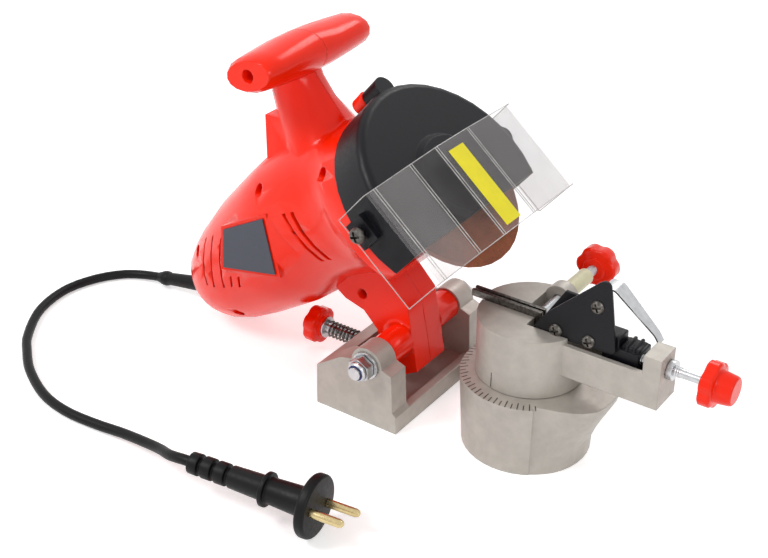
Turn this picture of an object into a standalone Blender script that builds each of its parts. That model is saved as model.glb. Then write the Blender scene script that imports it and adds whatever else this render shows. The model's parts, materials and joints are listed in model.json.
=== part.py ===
"""Electric chainsaw sharpener, one object per piece, in metres, +Z up.

The origin lies on the bench face, under the hinge that the motor head rocks on.
+X runs from the hinge to the chain vise, and +Y runs along the hinge bolt.
The head is modelled in its own frame: s runs along the disc's axis and t square
to it, both from the hinge, and y is shared with the world.
"""
import math

import bmesh
import bpy
import numpy as np
from mathutils import Matrix, Vector

# Shared clearances
FIT = 0.0003
RUNNING_GAP = 0.0006
OVERRUN = 0.004
FINE = 0.0001

# Head frame at rest
HINGE_HEIGHT = 0.0403
HEAD_LEAN_DEG = 49.4
SPINDLE_T = 0.0496
MOTOR_T = 0.0936

# Grinding disc and its spindle
DISC_RADIUS = 0.0500
DISC_THICKNESS = 0.0032
DISC_BACK_S = 0.0851
DISC_EDGE_BEVEL = 0.0006
SPINDLE_RADIUS = 0.0050
SPINDLE_BACK_S = 0.0370
SPINDLE_SHOULDER_RADIUS = 0.0140
SPINDLE_SHOULDER_LENGTH = 0.0058
FLANGE_RADIUS = 0.0150
FLANGE_THICKNESS = 0.0034
SPINDLE_NUT_RADIUS = 0.0085
SPINDLE_NUT_LENGTH = 0.0045

# Housing shell
WALL = 0.0030
SPLIT_GAP = 0.0003
HOUSING_FRONT_S = 0.0720
FRONT_RADIUS = 0.0610
BARREL_RADIUS = 0.0450
BARREL_LENGTH = 0.1180
BARREL_SIDES = 28
HOLLOW_SIDES = 16
# Each row: place along s, centre along t and radius, the tail rows as shares of the
# barrel's length, the motor axis and the barrel's radius
TAIL_ROW_SHARES = (
    (-1.000, 1.068, 0.27), (-0.983, 1.068, 0.40), (-0.949, 1.074, 0.52), (-0.881, 1.068, 0.64),
    (-0.780, 1.052, 0.74), (-0.661, 1.036, 0.82), (-0.441, 1.004, 0.93), (-0.339, 0.983, 0.965),
    (-0.169, 0.962, 1.00), (0.000, 0.951, 1.00),
)
# The front rows run from the barrel's end to the disc's axis: shares of the front
# station, of the way from the spindle axis to the motor axis, and from barrel to front radius
FRONT_ROW_SHARES = (
    (0.28, 0.74, 0.12), (0.46, 0.60, 0.16), (0.62, 0.47, 0.25), (0.74, 0.28, 0.55), (0.84, 0.10, 0.93)
)
FLOOR_T = 0.0270
FLOOR_START_S = 0.0230
PAD_WIDTH = 0.0872
PAD_BACK_S = -0.0700
PAD_FRONT_S = 0.0078

# Housing screws in the near half: places in the head frame, and for the two in the tail
# shares of the barrel's length and the motor axis
SCREW_HEAD_RADIUS = 0.0029
SCREW_HEAD_HEIGHT = 0.0024
SCREW_SHANK_RADIUS = 0.0016
SCREW_WELL_RADIUS = 0.0035
SCREW_BOSS_RADIUS = 0.0047
SCREW_ENGAGEMENT = 0.0070
TAIL_SCREW_SHARES = {
    "tail_top": (-0.702, 1.301),
    "tail_low": (-0.746, 0.816),
}
SCREW_PLACES = {
    "barrel": (0.0040, 0.1170),
    "front": (0.0604, 0.0950),
    "leg": (-0.0020, 0.0344),
}
SCREW_WELL_FLOOR_Y = 0.0060

# Cooling slots on both sides of the barrel: where each starts and ends, as a share of
# the barrel's length and degrees up from the side
VENT_WIDTH = 0.0026
VENT_DEPTH = 0.0080
VENT_STEPS = 3
VENT_SHARES = (
    (-0.563, 45, -0.719, 5), (-0.460, 38, -0.665, -1), (-0.374, 30, -0.592, -7),
    (-0.464, -2, -0.525, -10), (-0.411, -6, -0.469, -14),
    (0.165, 16, 0.140, -29), (0.220, 16, 0.190, -29),
)

# Label plate on the near pad
LABEL_THICKNESS = 0.0008
LABEL_LENGTH = 0.0510
LABEL_CORNER_SHARES = ((-0.113, 0.339), (0.525, 0.090), (0.115, -0.465), (-0.526, 0.035))
LABEL_RIM_SHARE = 1.14
LABEL_PAD_DEPTH = 0.0120
LABEL_CENTRE = (-0.0240, 0.0975)

# Neck and crossbar grip
NECK_ROWS = ((0.100, 0.034, 0.034, 0.030), (0.116, 0.036, 0.024, 0.024), (0.132, 0.040, 0.0220, 0.0165))
NECK_TOP_ROWS = ((0.145, 0.0455, 0.0185, 0.0160), (0.156, 0.0520, 0.0170, 0.0160))
NECK_SIDES = 16
BAR_CENTRE = (0.0655, 0.1612)
BAR_HALF_LENGTH = 0.0460
BAR_HALF_DEPTH = 0.0195
BAR_HALF_HEIGHT = 0.0130
BAR_LEAN_DEG = -32
BAR_SIDES = 16
BAR_ROW_SHARES = (
    (0.00, 1.00, 1.00), (0.35, 1.00, 0.97), (0.75, 0.98, 0.86), (0.93, 0.93, 0.80), (1.00, 0.80, 0.66)
)
BAR_SCREW_RADIUS = 0.0040
BAR_SCREW_DEPTH = 0.0100
BAR_END_WALL = 0.0125

# Switch on the back of the neck, upright when the head rests
SWITCH_CENTRE = (0.0114, 0.1390)
SWITCH_HEIGHT = 0.0260
SWITCH_WIDTH = 0.0160
SWITCH_DEPTH = 0.0180
SWITCH_RIM = 0.0022
SWITCH_RIM_PROUD = 0.0020
ROCKER_WIDTH = 0.0100
ROCKER_HEIGHT = 0.0164
ROCKER_DEPTH = 0.0060
ROCKER_CREST = 0.0030
ROCKER_PIVOT_DEPTH = 0.0020
ROCKER_CLEARANCE = 0.0010
ROCKER_BACK_SHARE = 0.72
SWITCH_MOUNT_HEIGHT = 0.0340
SWITCH_MOUNT_WIDTH = 0.0240
SWITCH_MOUNT_DEPTH = 0.0260

# Leg that carries the head on the hinge, as shares of its reach in the upright frame
LEG_HALF_WIDTH = 0.0145
LEG_REACH = 0.0248
LEG_SHARES = (
    (0.49, -0.76), (0.08, -1.00), (-0.32, -1.00), (-0.52, -0.74), (-0.60, -0.33), (-0.66, 0.00),
    (-1.06, 0.41), (-1.60, 0.56), (-1.95, 0.80), (-1.45, 2.00), (-0.41, 1.57), (0.18, 0.96),
)
HINGE_SLEEVE_RADIUS = 0.0125
HINGE_SLEEVE_HALF = 0.0337
HINGE_BOLT_RADIUS = 0.0040
HINGE_BOLT_HEAD_RADIUS = 0.0072
HINGE_BOLT_HEAD_LENGTH = 0.0052
HINGE_WASHER_RADIUS = 0.0085
HINGE_WASHER_THICKNESS = 0.0015
HINGE_NUT_RADIUS = 0.0075
HINGE_NUT_LENGTH = 0.0060
NUT_RING_RADIUS = 0.0058
NUT_RING_LENGTH = 0.0022
BOLT_END_LENGTH = 0.0015

# Motor on its own axis above the spindle; the spacings run from the barrel's tail end
STATOR_RADIUS = 0.0270
STATOR_BORE_RADIUS = 0.0155
STATOR_SPACING = 0.0180
STATOR_LENGTH = 0.0420
ARMATURE_RADIUS = 0.0147
MOTOR_SHAFT_RADIUS = 0.0040
MOTOR_SHAFT_INSET = 0.0140
MOTOR_SHAFT_FRONT_S = 0.0545
COMMUTATOR_RADIUS = 0.0110
COMMUTATOR_SPACING = 0.0120
COMMUTATOR_LENGTH = 0.0140
BRUSH_REACH_SHARE = 0.91
BRUSH_HEIGHT = 0.0070
BRUSH_WIDTH = 0.0060
REAR_BEARING_RADIUS = 0.0080
REAR_BEARING_LENGTH = 0.0060
FRONT_BEARING_RADIUS = 0.0110
FAN_RADIUS = 0.0240
FAN_HUB_RADIUS = 0.0080
FAN_SPACING = 0.0080
FAN_LENGTH = 0.0100
FAN_PLATE = 0.0020
FAN_BLADE_THICKNESS = 0.0016
FAN_BLADE_COUNT = 9
RIB_THICKNESS = 0.0040

# Inner bracket, bearing plate and belt drive
BRACKET_BACK_S = 0.0380
BRACKET_THICKNESS = 0.0060
PLATE_RADIUS = 0.0550
PLATE_THICKNESS = 0.0060
PLATE_STEP = 0.0020
SPINDLE_BEARING_RADIUS = 0.0130
BELT_PITCH = 0.0030
MOTOR_PULLEY_TEETH = 16
SPINDLE_PULLEY_TEETH = 36
PULLEY_BACK_S = 0.0460
PULLEY_LENGTH = 0.0090
BELT_WIDTH = 0.0064
BELT_THICKNESS = 0.0016
BELT_ARC_STEPS = 10

# Guard over the disc
GUARD_RADIUS = 0.0618
GUARD_WALL = 0.0025
GUARD_FACE_S = 0.0988
GUARD_ROUND = 0.0050
GUARD_BUMP_RADIUS = 0.0270
GUARD_BUMP_PROUD = 0.0030
GUARD_SIDES = 36
GUARD_ROUND_STEPS = 3
GUARD_BOSS_RADIUS = 0.0065
GUARD_BOSS_T = 0.1130
GUARD_BOSS_Y = 0.0040
GUARD_BOSS_LENGTH = 0.0220
LUG_BACK_S = 0.0725
LUG_LENGTH = 0.0130
LUG_HEIGHT = 0.0160
LUG_REACH_Y = 0.0655
LUG_ROOT_Y = 0.0500
VISOR_PIVOT_S = 0.0787
VISOR_PIVOT_T = 0.0543

# Visor: a bent clear sheet, its folds seen along t
VISOR_THICKNESS = 0.0020
VISOR_BACK_S = 0.0740
VISOR_FOLD_S = 0.0985
VISOR_CREST_S = 0.1080
VISOR_TOP_T = 0.0670
VISOR_BOTTOM_T = 0.0080
VISOR_FOLD_SHARES = ((-1.00, 0.00), (-0.50, 0.58), (-0.19, 1.00), (0.28, 1.00), (1.00, 0.72))
VISOR_SCREW_HEAD_RADIUS = 0.0055
VISOR_SCREW_HEAD_LENGTH = 0.0036
VISOR_SCREW_RADIUS = 0.0021
VISOR_SCREW_DEPTH = 0.0110

# Base casting: hinge bracket
LUG_INNER_Y = 0.0340
BASE_HALF_WIDTH = 0.0484
BASE_LENGTH = 0.0567
BASE_REAR_X = -0.0363
LUG_REAR_SHARES = ((0.00, 0.10), (0.01, 0.67), (0.32, 0.96))
LUG_FRONT_SHARES = ((0.94, 0.94), (0.955, 0.34), (1.00, 0.28))
LUG_BOSS_RADIUS = 0.0105
LUG_BOSS_STEPS = 12
BASE_FLOOR_HEIGHT = 0.0080
BASE_LIP_HEIGHT = 0.0115
BASE_LIP_WIDTH = 0.0054
REAR_WALL_HEIGHT = 0.0270
REAR_WALL_THICKNESS = 0.0083
BENCH_HOLE_RADIUS = 0.0034
BENCH_HOLE_X = -0.0080
BENCH_HOLE_Y = 0.0255

# Depth stop screw through the base's rear wall
DEPTH_SCREW_RADIUS = 0.0030
DEPTH_SCREW_Z = 0.0170
DEPTH_SCREW_TIP_X = -0.0165
DEPTH_KNOB_RADIUS = 0.0120
DEPTH_KNOB_LENGTH = 0.0110
DEPTH_KNOB_FRONT_X = -0.0660
DEPTH_WASHER_RADIUS = 0.0068
DEPTH_WASHER_THICKNESS = 0.0012
SPRING_RADIUS = 0.0047
SPRING_WIRE_RADIUS = 0.0007
SPRING_CURLS = 9
SPRING_POINTS_PER_CURL = 8

# Vise
VISE_X = 0.0813
VISE_Y = -0.0055
DRUM_FOOT_RADIUS = 0.0370
DRUM_RING_RADIUS = 0.0390
DRUM_RING_Z = 0.0445
DRUM_TOP_RADIUS = 0.0310
DRUM_TOP_Z = 0.0463
DRUM_HOLLOW_RADIUS = 0.0300
DRUM_HOLLOW_HEIGHT = 0.0340
DRUM_SIDES = 40
WING_DEG = 56
WING_HEIGHT = 0.0450
WING_ROWS_SHARES = ((0.00, 0.67), (0.22, 0.72), (0.44, 0.79), (0.67, 0.885), (0.89, 0.98), (1.00, 1.00))
WING_RADIUS = 0.0520
WING_STEPS = 8
WEB_HEIGHT = 0.0100
WEB_NEAR_Y = 0.0240
WEB_FAR_Y = 0.0400
TURNTABLE_RADIUS = 0.0305
TURNTABLE_BOTTOM_Z = 0.0466
TURNTABLE_NEAR_Z = 0.0820
TURNTABLE_REAR_Z = 0.0840
TURNTABLE_CUT_Z = 0.0740
TURNTABLE_CUT_X = 0.0770
SWIVEL_BOLT_RADIUS = 0.0040
SWIVEL_HEAD_RADIUS = 0.0075
SWIVEL_HEAD_LENGTH = 0.0050
SWIVEL_BOLT_ENGAGEMENT = 0.0160

# Chain rails in the turntable's slot
RAIL_THICKNESS = 0.0020
RAIL_GAP = 0.0018
RAIL_LENGTH = 0.0445
RAIL_LEFT_X = 0.0435
RAIL_BOTTOM_Z = 0.0680
RAIL_TOP_Z = 0.0860
SLOT_NEAR_Y = -0.0087
SLOT_WIDTH = 0.0070

# Clamp screw across the turntable
CLAMP_X = 0.0850
CLAMP_Z = 0.0815
CLAMP_SCREW_RADIUS = 0.0030
CLAMP_SLEEVE_RADIUS = 0.0048
CLAMP_SLEEVE_START_Y = 0.0265
CLAMP_SLEEVE_LENGTH = 0.0215
CLAMP_KNOB_RADIUS = 0.0125
CLAMP_KNOB_LENGTH = 0.0110
CLAMP_KNOB_GAP = 0.0085
CLAMP_BOSS_NEAR_Y = 0.0155
CLAMP_BOSS_THICKNESS = 0.0080
CLAMP_BOSS_RADIUS = 0.0085

# Arm of the turntable
ARM_END_X = 0.1640
ARM_NEAR_Y = -0.0205
ARM_WIDTH = 0.0210
ARM_BOTTOM_Z = 0.0600
ARM_TOP_Z = 0.0790
ARM_WALL = 0.0030
ARM_FLOOR = 0.0040
POST_THICKNESS = 0.0100
POST_TOP_Z = 0.0900
POST_FAR_Y = -0.0040
CHANNEL_START_X = 0.0840

# Chain stop on its slider
ADJUST_Y = -0.0100
ADJUST_Z = 0.0803
ADJUST_SCREW_RADIUS = 0.0030
ADJUST_SCREW_START_X = 0.1330
ADJUST_KNOB_START_X = 0.1840
ADJUST_KNOB_RADIUS = 0.01275
ADJUST_KNOB_LENGTH = 0.0075
ADJUST_HUB_RADIUS = 0.0085
ADJUST_HUB_LENGTH = 0.0090
ADJUST_COLLAR_RADIUS = 0.0055
ADJUST_COLLAR_LENGTH = 0.0030
SLIDER_START_X = 0.1280
SLIDER_LENGTH = 0.0210
SLIDER_NEAR_Y = -0.0150
SLIDER_WIDTH = 0.0150
SLIDER_TOP_Z = 0.0930
SLIDER_TONGUE_WIDTH = 0.0090
STOP_HEIGHT = 0.0424
STOP_TIP = (0.0861, 0.0790)
STOP_PLATE_THICKNESS = 0.0019
STOP_SCREW_RADIUS = 0.0020
STOP_SCREW_HEAD_RADIUS = 0.0038
STOP_SCREW_HEAD_LENGTH = 0.0022
STOP_SCREW_DEPTH = 0.0060
STOP_PIVOT = (0.1312, 0.0860)
STOP_NEAR_SHARES = ((0.00, 0.00), (0.19, 0.31), (0.98, 0.99), (1.05, 1.00), (1.20, 0.06))
STOP_FAR_SHARES = ((0.07, 0.13), (0.33, 0.56), (0.54, 0.55), (0.85, 0.81), (0.92, 0.85), (0.92, 0.13))
STOP_WEB_SHARES = ((0.30, 0.20), (0.42, 0.42), (0.84, 0.72), (0.88, 0.20))
STOP_DEPTH = 0.0112
STRAP_WIDTH = 0.0090
STRAP_THICKNESS = 0.0010
STRAP_SHARES = ((1.06, 0.78), (1.53, 0.26), (1.56, 0.34))

# Cord, its sleeve and its plug
CORD_RADIUS = 0.0030
SLEEVE_INSET = 0.0023
SLEEVE_T_SHARE = 1.051
SLEEVE_LENGTH = 0.0585
SLEEVE_DROP_DEG = 10.8
SLEEVE_VEER_DEG = 0.5
SLEEVE_RADIUS = 0.0053
SLEEVE_ANCHOR_LENGTH = 0.0120
# Each row: place along the free length and reach; the bead is near the tip
SLEEVE_ROW_SHARES = (
    (0.00, 1.00), (0.45, 0.90), (0.79, 0.80), (0.82, 0.91), (0.87, 0.96), (0.92, 0.92),
    (0.95, 0.78), (1.00, 0.70),
)
CORD_ROUTE = (
    (-0.2235, -0.0030, 0.0034), (-0.2345, -0.0100, 0.0032), (-0.2452, -0.0255, 0.0032),
    (-0.2509, -0.0476, 0.0032), (-0.2452, -0.0751, 0.0032), (-0.2284, -0.1006, 0.0032),
    (-0.2156, -0.1129, 0.0032), (-0.1971, -0.1272, 0.0032), (-0.1711, -0.1400, 0.0032),
    (-0.1478, -0.1445, 0.0032), (-0.1243, -0.1437, 0.0034), (-0.1019, -0.1423, 0.0050),
    (-0.0713, -0.1467, 0.0112), (-0.0560, -0.1530, 0.0170),
)
CORD_STEP = 0.0120
CORD_RESOLUTION = 2

# Plug, lying on its flange's rim
PLUG_CENTRE = (0.0355, -0.1425, 0.0180)
PLUG_AXIS = (0.989, 0.147, -0.026)
PLUG_LENGTH = 0.0780
PLUG_FLANGE_RADIUS = 0.0175
PLUG_FLANGE_THICKNESS = 0.0050
PLUG_GRIP_RADIUS = 0.0084
PLUG_RIB_COUNT = 4
PLUG_RIBS_LENGTH = 0.0340
PLUG_RIB_RADIUS = 0.0062
PLUG_GROOVE_RADIUS = 0.0042
PLUG_COLLAR_RADIUS = 0.0097
PLUG_COLLAR_PLACE = 0.0460
PLUG_COLLAR_LENGTH = 0.0025
PLUG_RIB_SHARE = 0.74
PIN_RADIUS = 0.0024
PIN_LENGTH = 0.0190
PIN_SPACING = 0.0190
PIN_LEAN_DEG = -20

# Modelling limits
WELD_DISTANCE = 0.000001
ROUND_SIDES = 20
FINE_SIDES = 32
SMALL_SIDES = 12
HEX_SIDES = 6
SHARP_DEG = 35
ROUTE_SAMPLES = 24

# Lobed knobs: each edge row is a place along and a reach
KNOB_SIDES = 30
KNOB_LOBE_SHARE = 0.16
KNOB_EDGE_SHARES = ((0.00, 0.88), (0.16, 1.00), (0.84, 1.00), (1.00, 0.88))
KNOB_BORE_SHARE = 0.7

# Colours as linear red, green and blue, then roughness and metallic
FINISHES = {
    "red_abs": ((0.83, 0.035, 0.018), 0.32, 0.0),
    "black_plastic": ((0.018, 0.018, 0.021), 0.42, 0.0),
    "cast_metal": ((0.46, 0.43, 0.39), 0.48, 1.0),
    "zinc": ((0.70, 0.70, 0.69), 0.26, 1.0),
    "dark_steel": ((0.09, 0.09, 0.10), 0.40, 1.0),
    "clear_sheet": ((0.72, 0.74, 0.74), 0.08, 0.0),
    "abrasive": ((0.16, 0.035, 0.012), 0.90, 0.0),
    "rubber": ((0.012, 0.012, 0.013), 0.60, 0.0),
    "label": ((0.060, 0.065, 0.080), 0.45, 0.0),
    "blue_nylon": ((0.010, 0.035, 0.22), 0.40, 0.0),
    "cream_sleeve": ((0.72, 0.66, 0.46), 0.50, 0.0),
    "copper": ((0.72, 0.33, 0.18), 0.35, 1.0),
    "laminate": ((0.26, 0.26, 0.27), 0.45, 1.0),
    "brass": ((0.72, 0.58, 0.32), 0.28, 1.0),
}


def clear_scene():
    """Remove whatever the file starts with."""
    for obj in list(bpy.data.objects):
        bpy.data.objects.remove(obj, do_unlink=True)


def new_collection(name):
    """A collection under the scene's own."""
    group = bpy.data.collections.new(name)
    bpy.context.scene.collection.children.link(group)
    return group


clear_scene()
PARTS = new_collection("chainsaw_sharpener")


def finish_material(name):
    """The Principled material of one finish, made once."""
    if name in bpy.data.materials:
        return bpy.data.materials[name]
    colour, roughness, metallic = FINISHES[name]
    material = bpy.data.materials.new(name)
    material.use_nodes = True
    shader = material.node_tree.nodes["Principled BSDF"]
    shader.inputs["Base Color"].default_value = (*colour, 1.0)
    shader.inputs["Roughness"].default_value = roughness
    shader.inputs["Metallic"].default_value = metallic
    return material


def carrier(name, location, drawn_at, parent=None, lean=0.0):
    """An empty on a joint's axis; drawn_at is its place in its pieces' drawing frame."""
    empty = bpy.data.objects.new(name, None)
    PARTS.objects.link(empty)
    empty.parent = parent
    empty.location = location
    empty.rotation_euler = (0, lean, 0)
    empty["drawn_at"] = tuple(drawn_at)
    return empty


def finished(obj, name, finish, holder=None):
    """Name a solid, give it its material and hang it on its carrier."""
    obj.name = name
    obj.data.name = name
    obj.data.materials.clear()
    obj.data.materials.append(finish_material(finish))
    obj.data.shade_smooth()
    obj.data.set_sharp_from_angle(angle=math.radians(SHARP_DEG))
    if holder is not None:
        obj.parent = holder
        obj.location = -Vector(holder["drawn_at"])
    return obj


def mesh_object(bm, turn_out=True):
    """An object of a bmesh, whose faces are turned outward; a hollow's already face right."""
    if turn_out:
        bmesh.ops.recalc_face_normals(bm, faces=bm.faces)
    mesh = bpy.data.meshes.new("solid")
    bm.to_mesh(mesh)
    bm.free()
    obj = bpy.data.objects.new("solid", mesh)
    PARTS.objects.link(obj)
    return obj


def as_mesh(obj, turn_out=True):
    """The shape of a curve, or of a mesh with modifiers, as one plain mesh."""
    bpy.context.view_layer.update()
    graph = bpy.context.evaluated_depsgraph_get()
    mesh = bpy.data.meshes.new_from_object(obj.evaluated_get(graph))
    bm = bmesh.new()
    bm.from_mesh(mesh)
    bmesh.ops.remove_doubles(bm, verts=bm.verts, dist=WELD_DISTANCE)
    solid = mesh_object(bm, turn_out)
    solid.matrix_world = obj.matrix_world
    bpy.data.meshes.remove(mesh)
    bpy.data.objects.remove(obj, do_unlink=True)
    return solid


def combined(body, tools, operation):
    """Cut with, join with or keep what is common with each tool, which is used up."""
    for tool in tools:
        step = body.modifiers.new("step", "BOOLEAN")
        step.operation = operation
        step.solver = "EXACT"
        step.object = tool
        body = as_mesh(body, turn_out=False)
        bpy.data.objects.remove(tool, do_unlink=True)
    return body


def cut(body, *tools):
    """The body without its tools."""
    return combined(body, tools, "DIFFERENCE")


def joined(body, *tools):
    """The body and its tools as one solid."""
    return combined(body, tools, "UNION")


def common(body, *tools):
    """What the body shares with its tools."""
    return combined(body, tools, "INTERSECT")


def copied(obj):
    """A second object with a mesh of its own."""
    twin = obj.copy()
    twin.data = obj.data.copy()
    PARTS.objects.link(twin)
    return twin


def softened(obj, width, segments=1):
    """The sharp edges of a simple solid rounded a little."""
    step = obj.modifiers.new("soften", "BEVEL")
    step.width = width
    step.segments = segments
    step.limit_method = "ANGLE"
    return as_mesh(obj)


def block(low, high):
    """A box between two corners."""
    low = Vector(low)
    high = Vector(high)
    bm = bmesh.new()
    bmesh.ops.create_cube(bm, size=1)
    bmesh.ops.scale(bm, vec=high - low, verts=bm.verts)
    bmesh.ops.translate(bm, vec=(low + high) / 2, verts=bm.verts)
    return mesh_object(bm)


def rod(start, end, radius, end_radius=None, sides=ROUND_SIDES):
    """A cylinder, a cone or, with six sides, a hexagon between two points."""
    start = Vector(start)
    end = Vector(end)
    along = end - start
    if end_radius is None:
        end_radius = radius
    turn = Vector((0, 0, 1)).rotation_difference(along).to_matrix().to_4x4()
    bm = bmesh.new()
    bmesh.ops.create_cone(
        bm, cap_ends=True, segments=sides, radius1=radius, radius2=end_radius, depth=along.length
    )
    bmesh.ops.transform(bm, matrix=Matrix.Translation((start + end) / 2) @ turn, verts=bm.verts)
    return mesh_object(bm)


def turned(profile, start, axis, sides=ROUND_SIDES):
    """A profile of (place along the axis, radius) turned about the axis by a Screw modifier.

    The profile runs up the outside; one that never meets the axis closes into a ring.
    """
    points = [(radius, 0, along) for along, radius in reversed(profile)]
    edges = [(i, i + 1) for i in range(len(points) - 1)]
    if profile[0][1] > 0 and profile[-1][1] > 0:
        edges.append((len(points) - 1, 0))
    mesh = bpy.data.meshes.new("profile")
    mesh.from_pydata(points, edges, [])
    obj = bpy.data.objects.new("profile", mesh)
    PARTS.objects.link(obj)
    screw = obj.modifiers.new("turn", "SCREW")
    screw.angle = math.tau
    screw.steps = sides
    screw.render_steps = sides
    screw.use_merge_vertices = True
    screw.merge_threshold = WELD_DISTANCE
    solid = as_mesh(obj)
    turn = Vector((0, 0, 1)).rotation_difference(Vector(axis)).to_matrix().to_4x4()
    solid.data.transform(Matrix.Translation(Vector(start)) @ turn)
    return solid


def ring(start, axis, length, outer, inner, sides=ROUND_SIDES):
    """A plain ring or bush."""
    return turned(((0, inner), (0, outer), (length, outer), (length, inner)), start, axis, sides)


def extruded(outline, depth, across, up, start):
    """An outline extruded both ways from its middle plane: a 2D curve made a mesh."""
    curve = bpy.data.curves.new("outline", "CURVE")
    curve.dimensions = "2D"
    curve.fill_mode = "BOTH"
    curve.extrude = depth / 2
    spline = curve.splines.new("POLY")
    spline.points.add(len(outline) - 1)
    for point, (u, v) in zip(spline.points, outline):
        point.co = (u, v, 0, 1)
    spline.use_cyclic_u = True
    obj = bpy.data.objects.new("outline", curve)
    PARTS.objects.link(obj)
    solid = as_mesh(obj)
    across = Vector(across)
    up = Vector(up)
    basis = Matrix((across, up, across.cross(up))).transposed().to_4x4()
    solid.data.transform(Matrix.Translation(Vector(start)) @ basis)
    return solid


def side_plate(outline, low_y, high_y):
    """A plate with its outline seen along y, between two places across."""
    return extruded(outline, high_y - low_y, (1, 0, 0), (0, 0, 1), (0, (low_y + high_y) / 2, 0))


def loft(rings):
    """A solid through rings of as many points each, capped at both ends."""
    bm = bmesh.new()
    rows = [[bm.verts.new(point) for point in points] for points in rings]
    count = len(rows[0])
    for low, high in zip(rows, rows[1:]):
        for i in range(count):
            j = (i + 1) % count
            bm.faces.new((low[i], low[j], high[j], high[i]))
    bm.faces.new(rows[0][::-1])
    bm.faces.new(rows[-1])
    return mesh_object(bm)


def tube(points, radius, resolution):
    """A cord or wire: a POLY curve with a round bevel and filled caps, made a mesh."""
    curve = bpy.data.curves.new("tube", "CURVE")
    curve.dimensions = "3D"
    curve.bevel_depth = radius
    curve.bevel_resolution = resolution
    curve.use_fill_caps = True
    spline = curve.splines.new("POLY")
    spline.points.add(len(points) - 1)
    for point, place in zip(spline.points, points):
        point.co = (*place, 1)
    obj = bpy.data.objects.new("tube", curve)
    PARTS.objects.link(obj)
    return as_mesh(obj)


def knob(start, axis, length, radius, lobes=6):
    """A lobed hand knob along an axis."""
    axis = Vector(axis).normalized()
    turn = Vector((0, 0, 1)).rotation_difference(axis).to_matrix()
    rings = []
    for along_share, radius_share in KNOB_EDGE_SHARES:
        points = []
        for i in range(KNOB_SIDES):
            angle = math.tau * i / KNOB_SIDES
            reach = radius * radius_share * (1 - KNOB_LOBE_SHARE * (1 - math.cos(lobes * angle)) / 2)
            flat = Vector((reach * math.cos(angle), reach * math.sin(angle), along_share * length))
            points.append(Vector(start) + turn @ flat)
        rings.append(points)
    return loft(rings)


def smooth_route(places, step):
    """Points at a steady step on a smooth curve through chosen places."""
    places = [Vector(place) for place in places]
    padded = [2 * places[0] - places[1], *places, 2 * places[-1] - places[-2]]
    dense = []
    for a, b, c, d in zip(padded, padded[1:], padded[2:], padded[3:]):
        for k in range(ROUTE_SAMPLES):
            u = k / ROUTE_SAMPLES
            tangent_b = (c - a) / 2
            tangent_c = (d - b) / 2
            dense.append(
                b * (2 * u ** 3 - 3 * u ** 2 + 1) + tangent_b * (u ** 3 - 2 * u ** 2 + u)
                + c * (3 * u ** 2 - 2 * u ** 3) + tangent_c * (u ** 3 - u ** 2)
            )
    dense.append(places[-1])
    run = [0.0]
    for before, after in zip(dense, dense[1:]):
        run.append(run[-1] + (after - before).length)
    count = max(2, round(run[-1] / step))
    wanted = np.linspace(0, run[-1], count + 1)
    columns = [np.interp(wanted, run, [point[i] for point in dense]) for i in range(3)]
    return [Vector(point) for point in zip(*columns)]


# Places worked out from the sizes
HEAD_LEAN = math.radians(HEAD_LEAN_DEG)
MOTOR_AXIS = (0, 0, MOTOR_T)
ALONG = (1, 0, 0)
ACROSS = (0, 1, 0)
FAR_AWAY = BARREL_LENGTH + FRONT_RADIUS + BAR_CENTRE[1]
QUARTER_DEG = 90
DISC_FRONT_S = DISC_BACK_S + DISC_THICKNESS
FLANGE_BACK_S = DISC_FRONT_S + FIT
NUT_BACK_S = FLANGE_BACK_S + FLANGE_THICKNESS + FIT
MOTOR_SHAFT_BACK_S = MOTOR_SHAFT_INSET - BARREL_LENGTH
COMMUTATOR_BACK_S = MOTOR_SHAFT_BACK_S + COMMUTATOR_SPACING
STATOR_BACK_S = COMMUTATOR_BACK_S + STATOR_SPACING
FAN_BACK_S = STATOR_BACK_S + STATOR_LENGTH + FAN_SPACING
BRACKET_FRONT_S = BRACKET_BACK_S + BRACKET_THICKNESS
PLATE_BACK_S = HOUSING_FRONT_S - PLATE_THICKNESS
PAD_Y = PAD_WIDTH / 2

HEAD = carrier("head_hinge", (0, 0, HINGE_HEIGHT), (0, 0, 0), lean=-HEAD_LEAN)
DISC_AXIS = carrier("disc_axis", (0, 0, SPINDLE_T), (0, 0, SPINDLE_T), HEAD)
ARMATURE_AXIS = carrier("armature_axis", (0, 0, MOTOR_T), (0, 0, MOTOR_T), HEAD)
VISOR_PIVOT = carrier(
    "visor_pivot", (VISOR_PIVOT_S, 0, VISOR_PIVOT_T), (VISOR_PIVOT_S, 0, VISOR_PIVOT_T), HEAD
)


def on_motor(s):
    """A point of the motor's axis."""
    return (s, 0, MOTOR_T)


def on_spindle(s):
    """A point of the spindle's axis."""
    return (s, 0, SPINDLE_T)


def upright(x, z):
    """A point given upright from the hinge, as the head rests, in the head's frame."""
    s = x * math.cos(HEAD_LEAN) + z * math.sin(HEAD_LEAN)
    t = z * math.cos(HEAD_LEAN) - x * math.sin(HEAD_LEAN)
    return (s, t)


def barrel_rows():
    """Stations of the barrel and the front shell: place, centre and radius."""
    rows = []
    for s_share, t_share, radius_share in TAIL_ROW_SHARES:
        rows.append((s_share * BARREL_LENGTH, t_share * MOTOR_T, radius_share * BARREL_RADIUS))
    for s_share, t_share, radius_share in FRONT_ROW_SHARES:
        centre = SPINDLE_T + t_share * (MOTOR_T - SPINDLE_T)
        radius = BARREL_RADIUS + radius_share * (FRONT_RADIUS - BARREL_RADIUS)
        rows.append((s_share * HOUSING_FRONT_S, centre, radius))
    return rows


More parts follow.
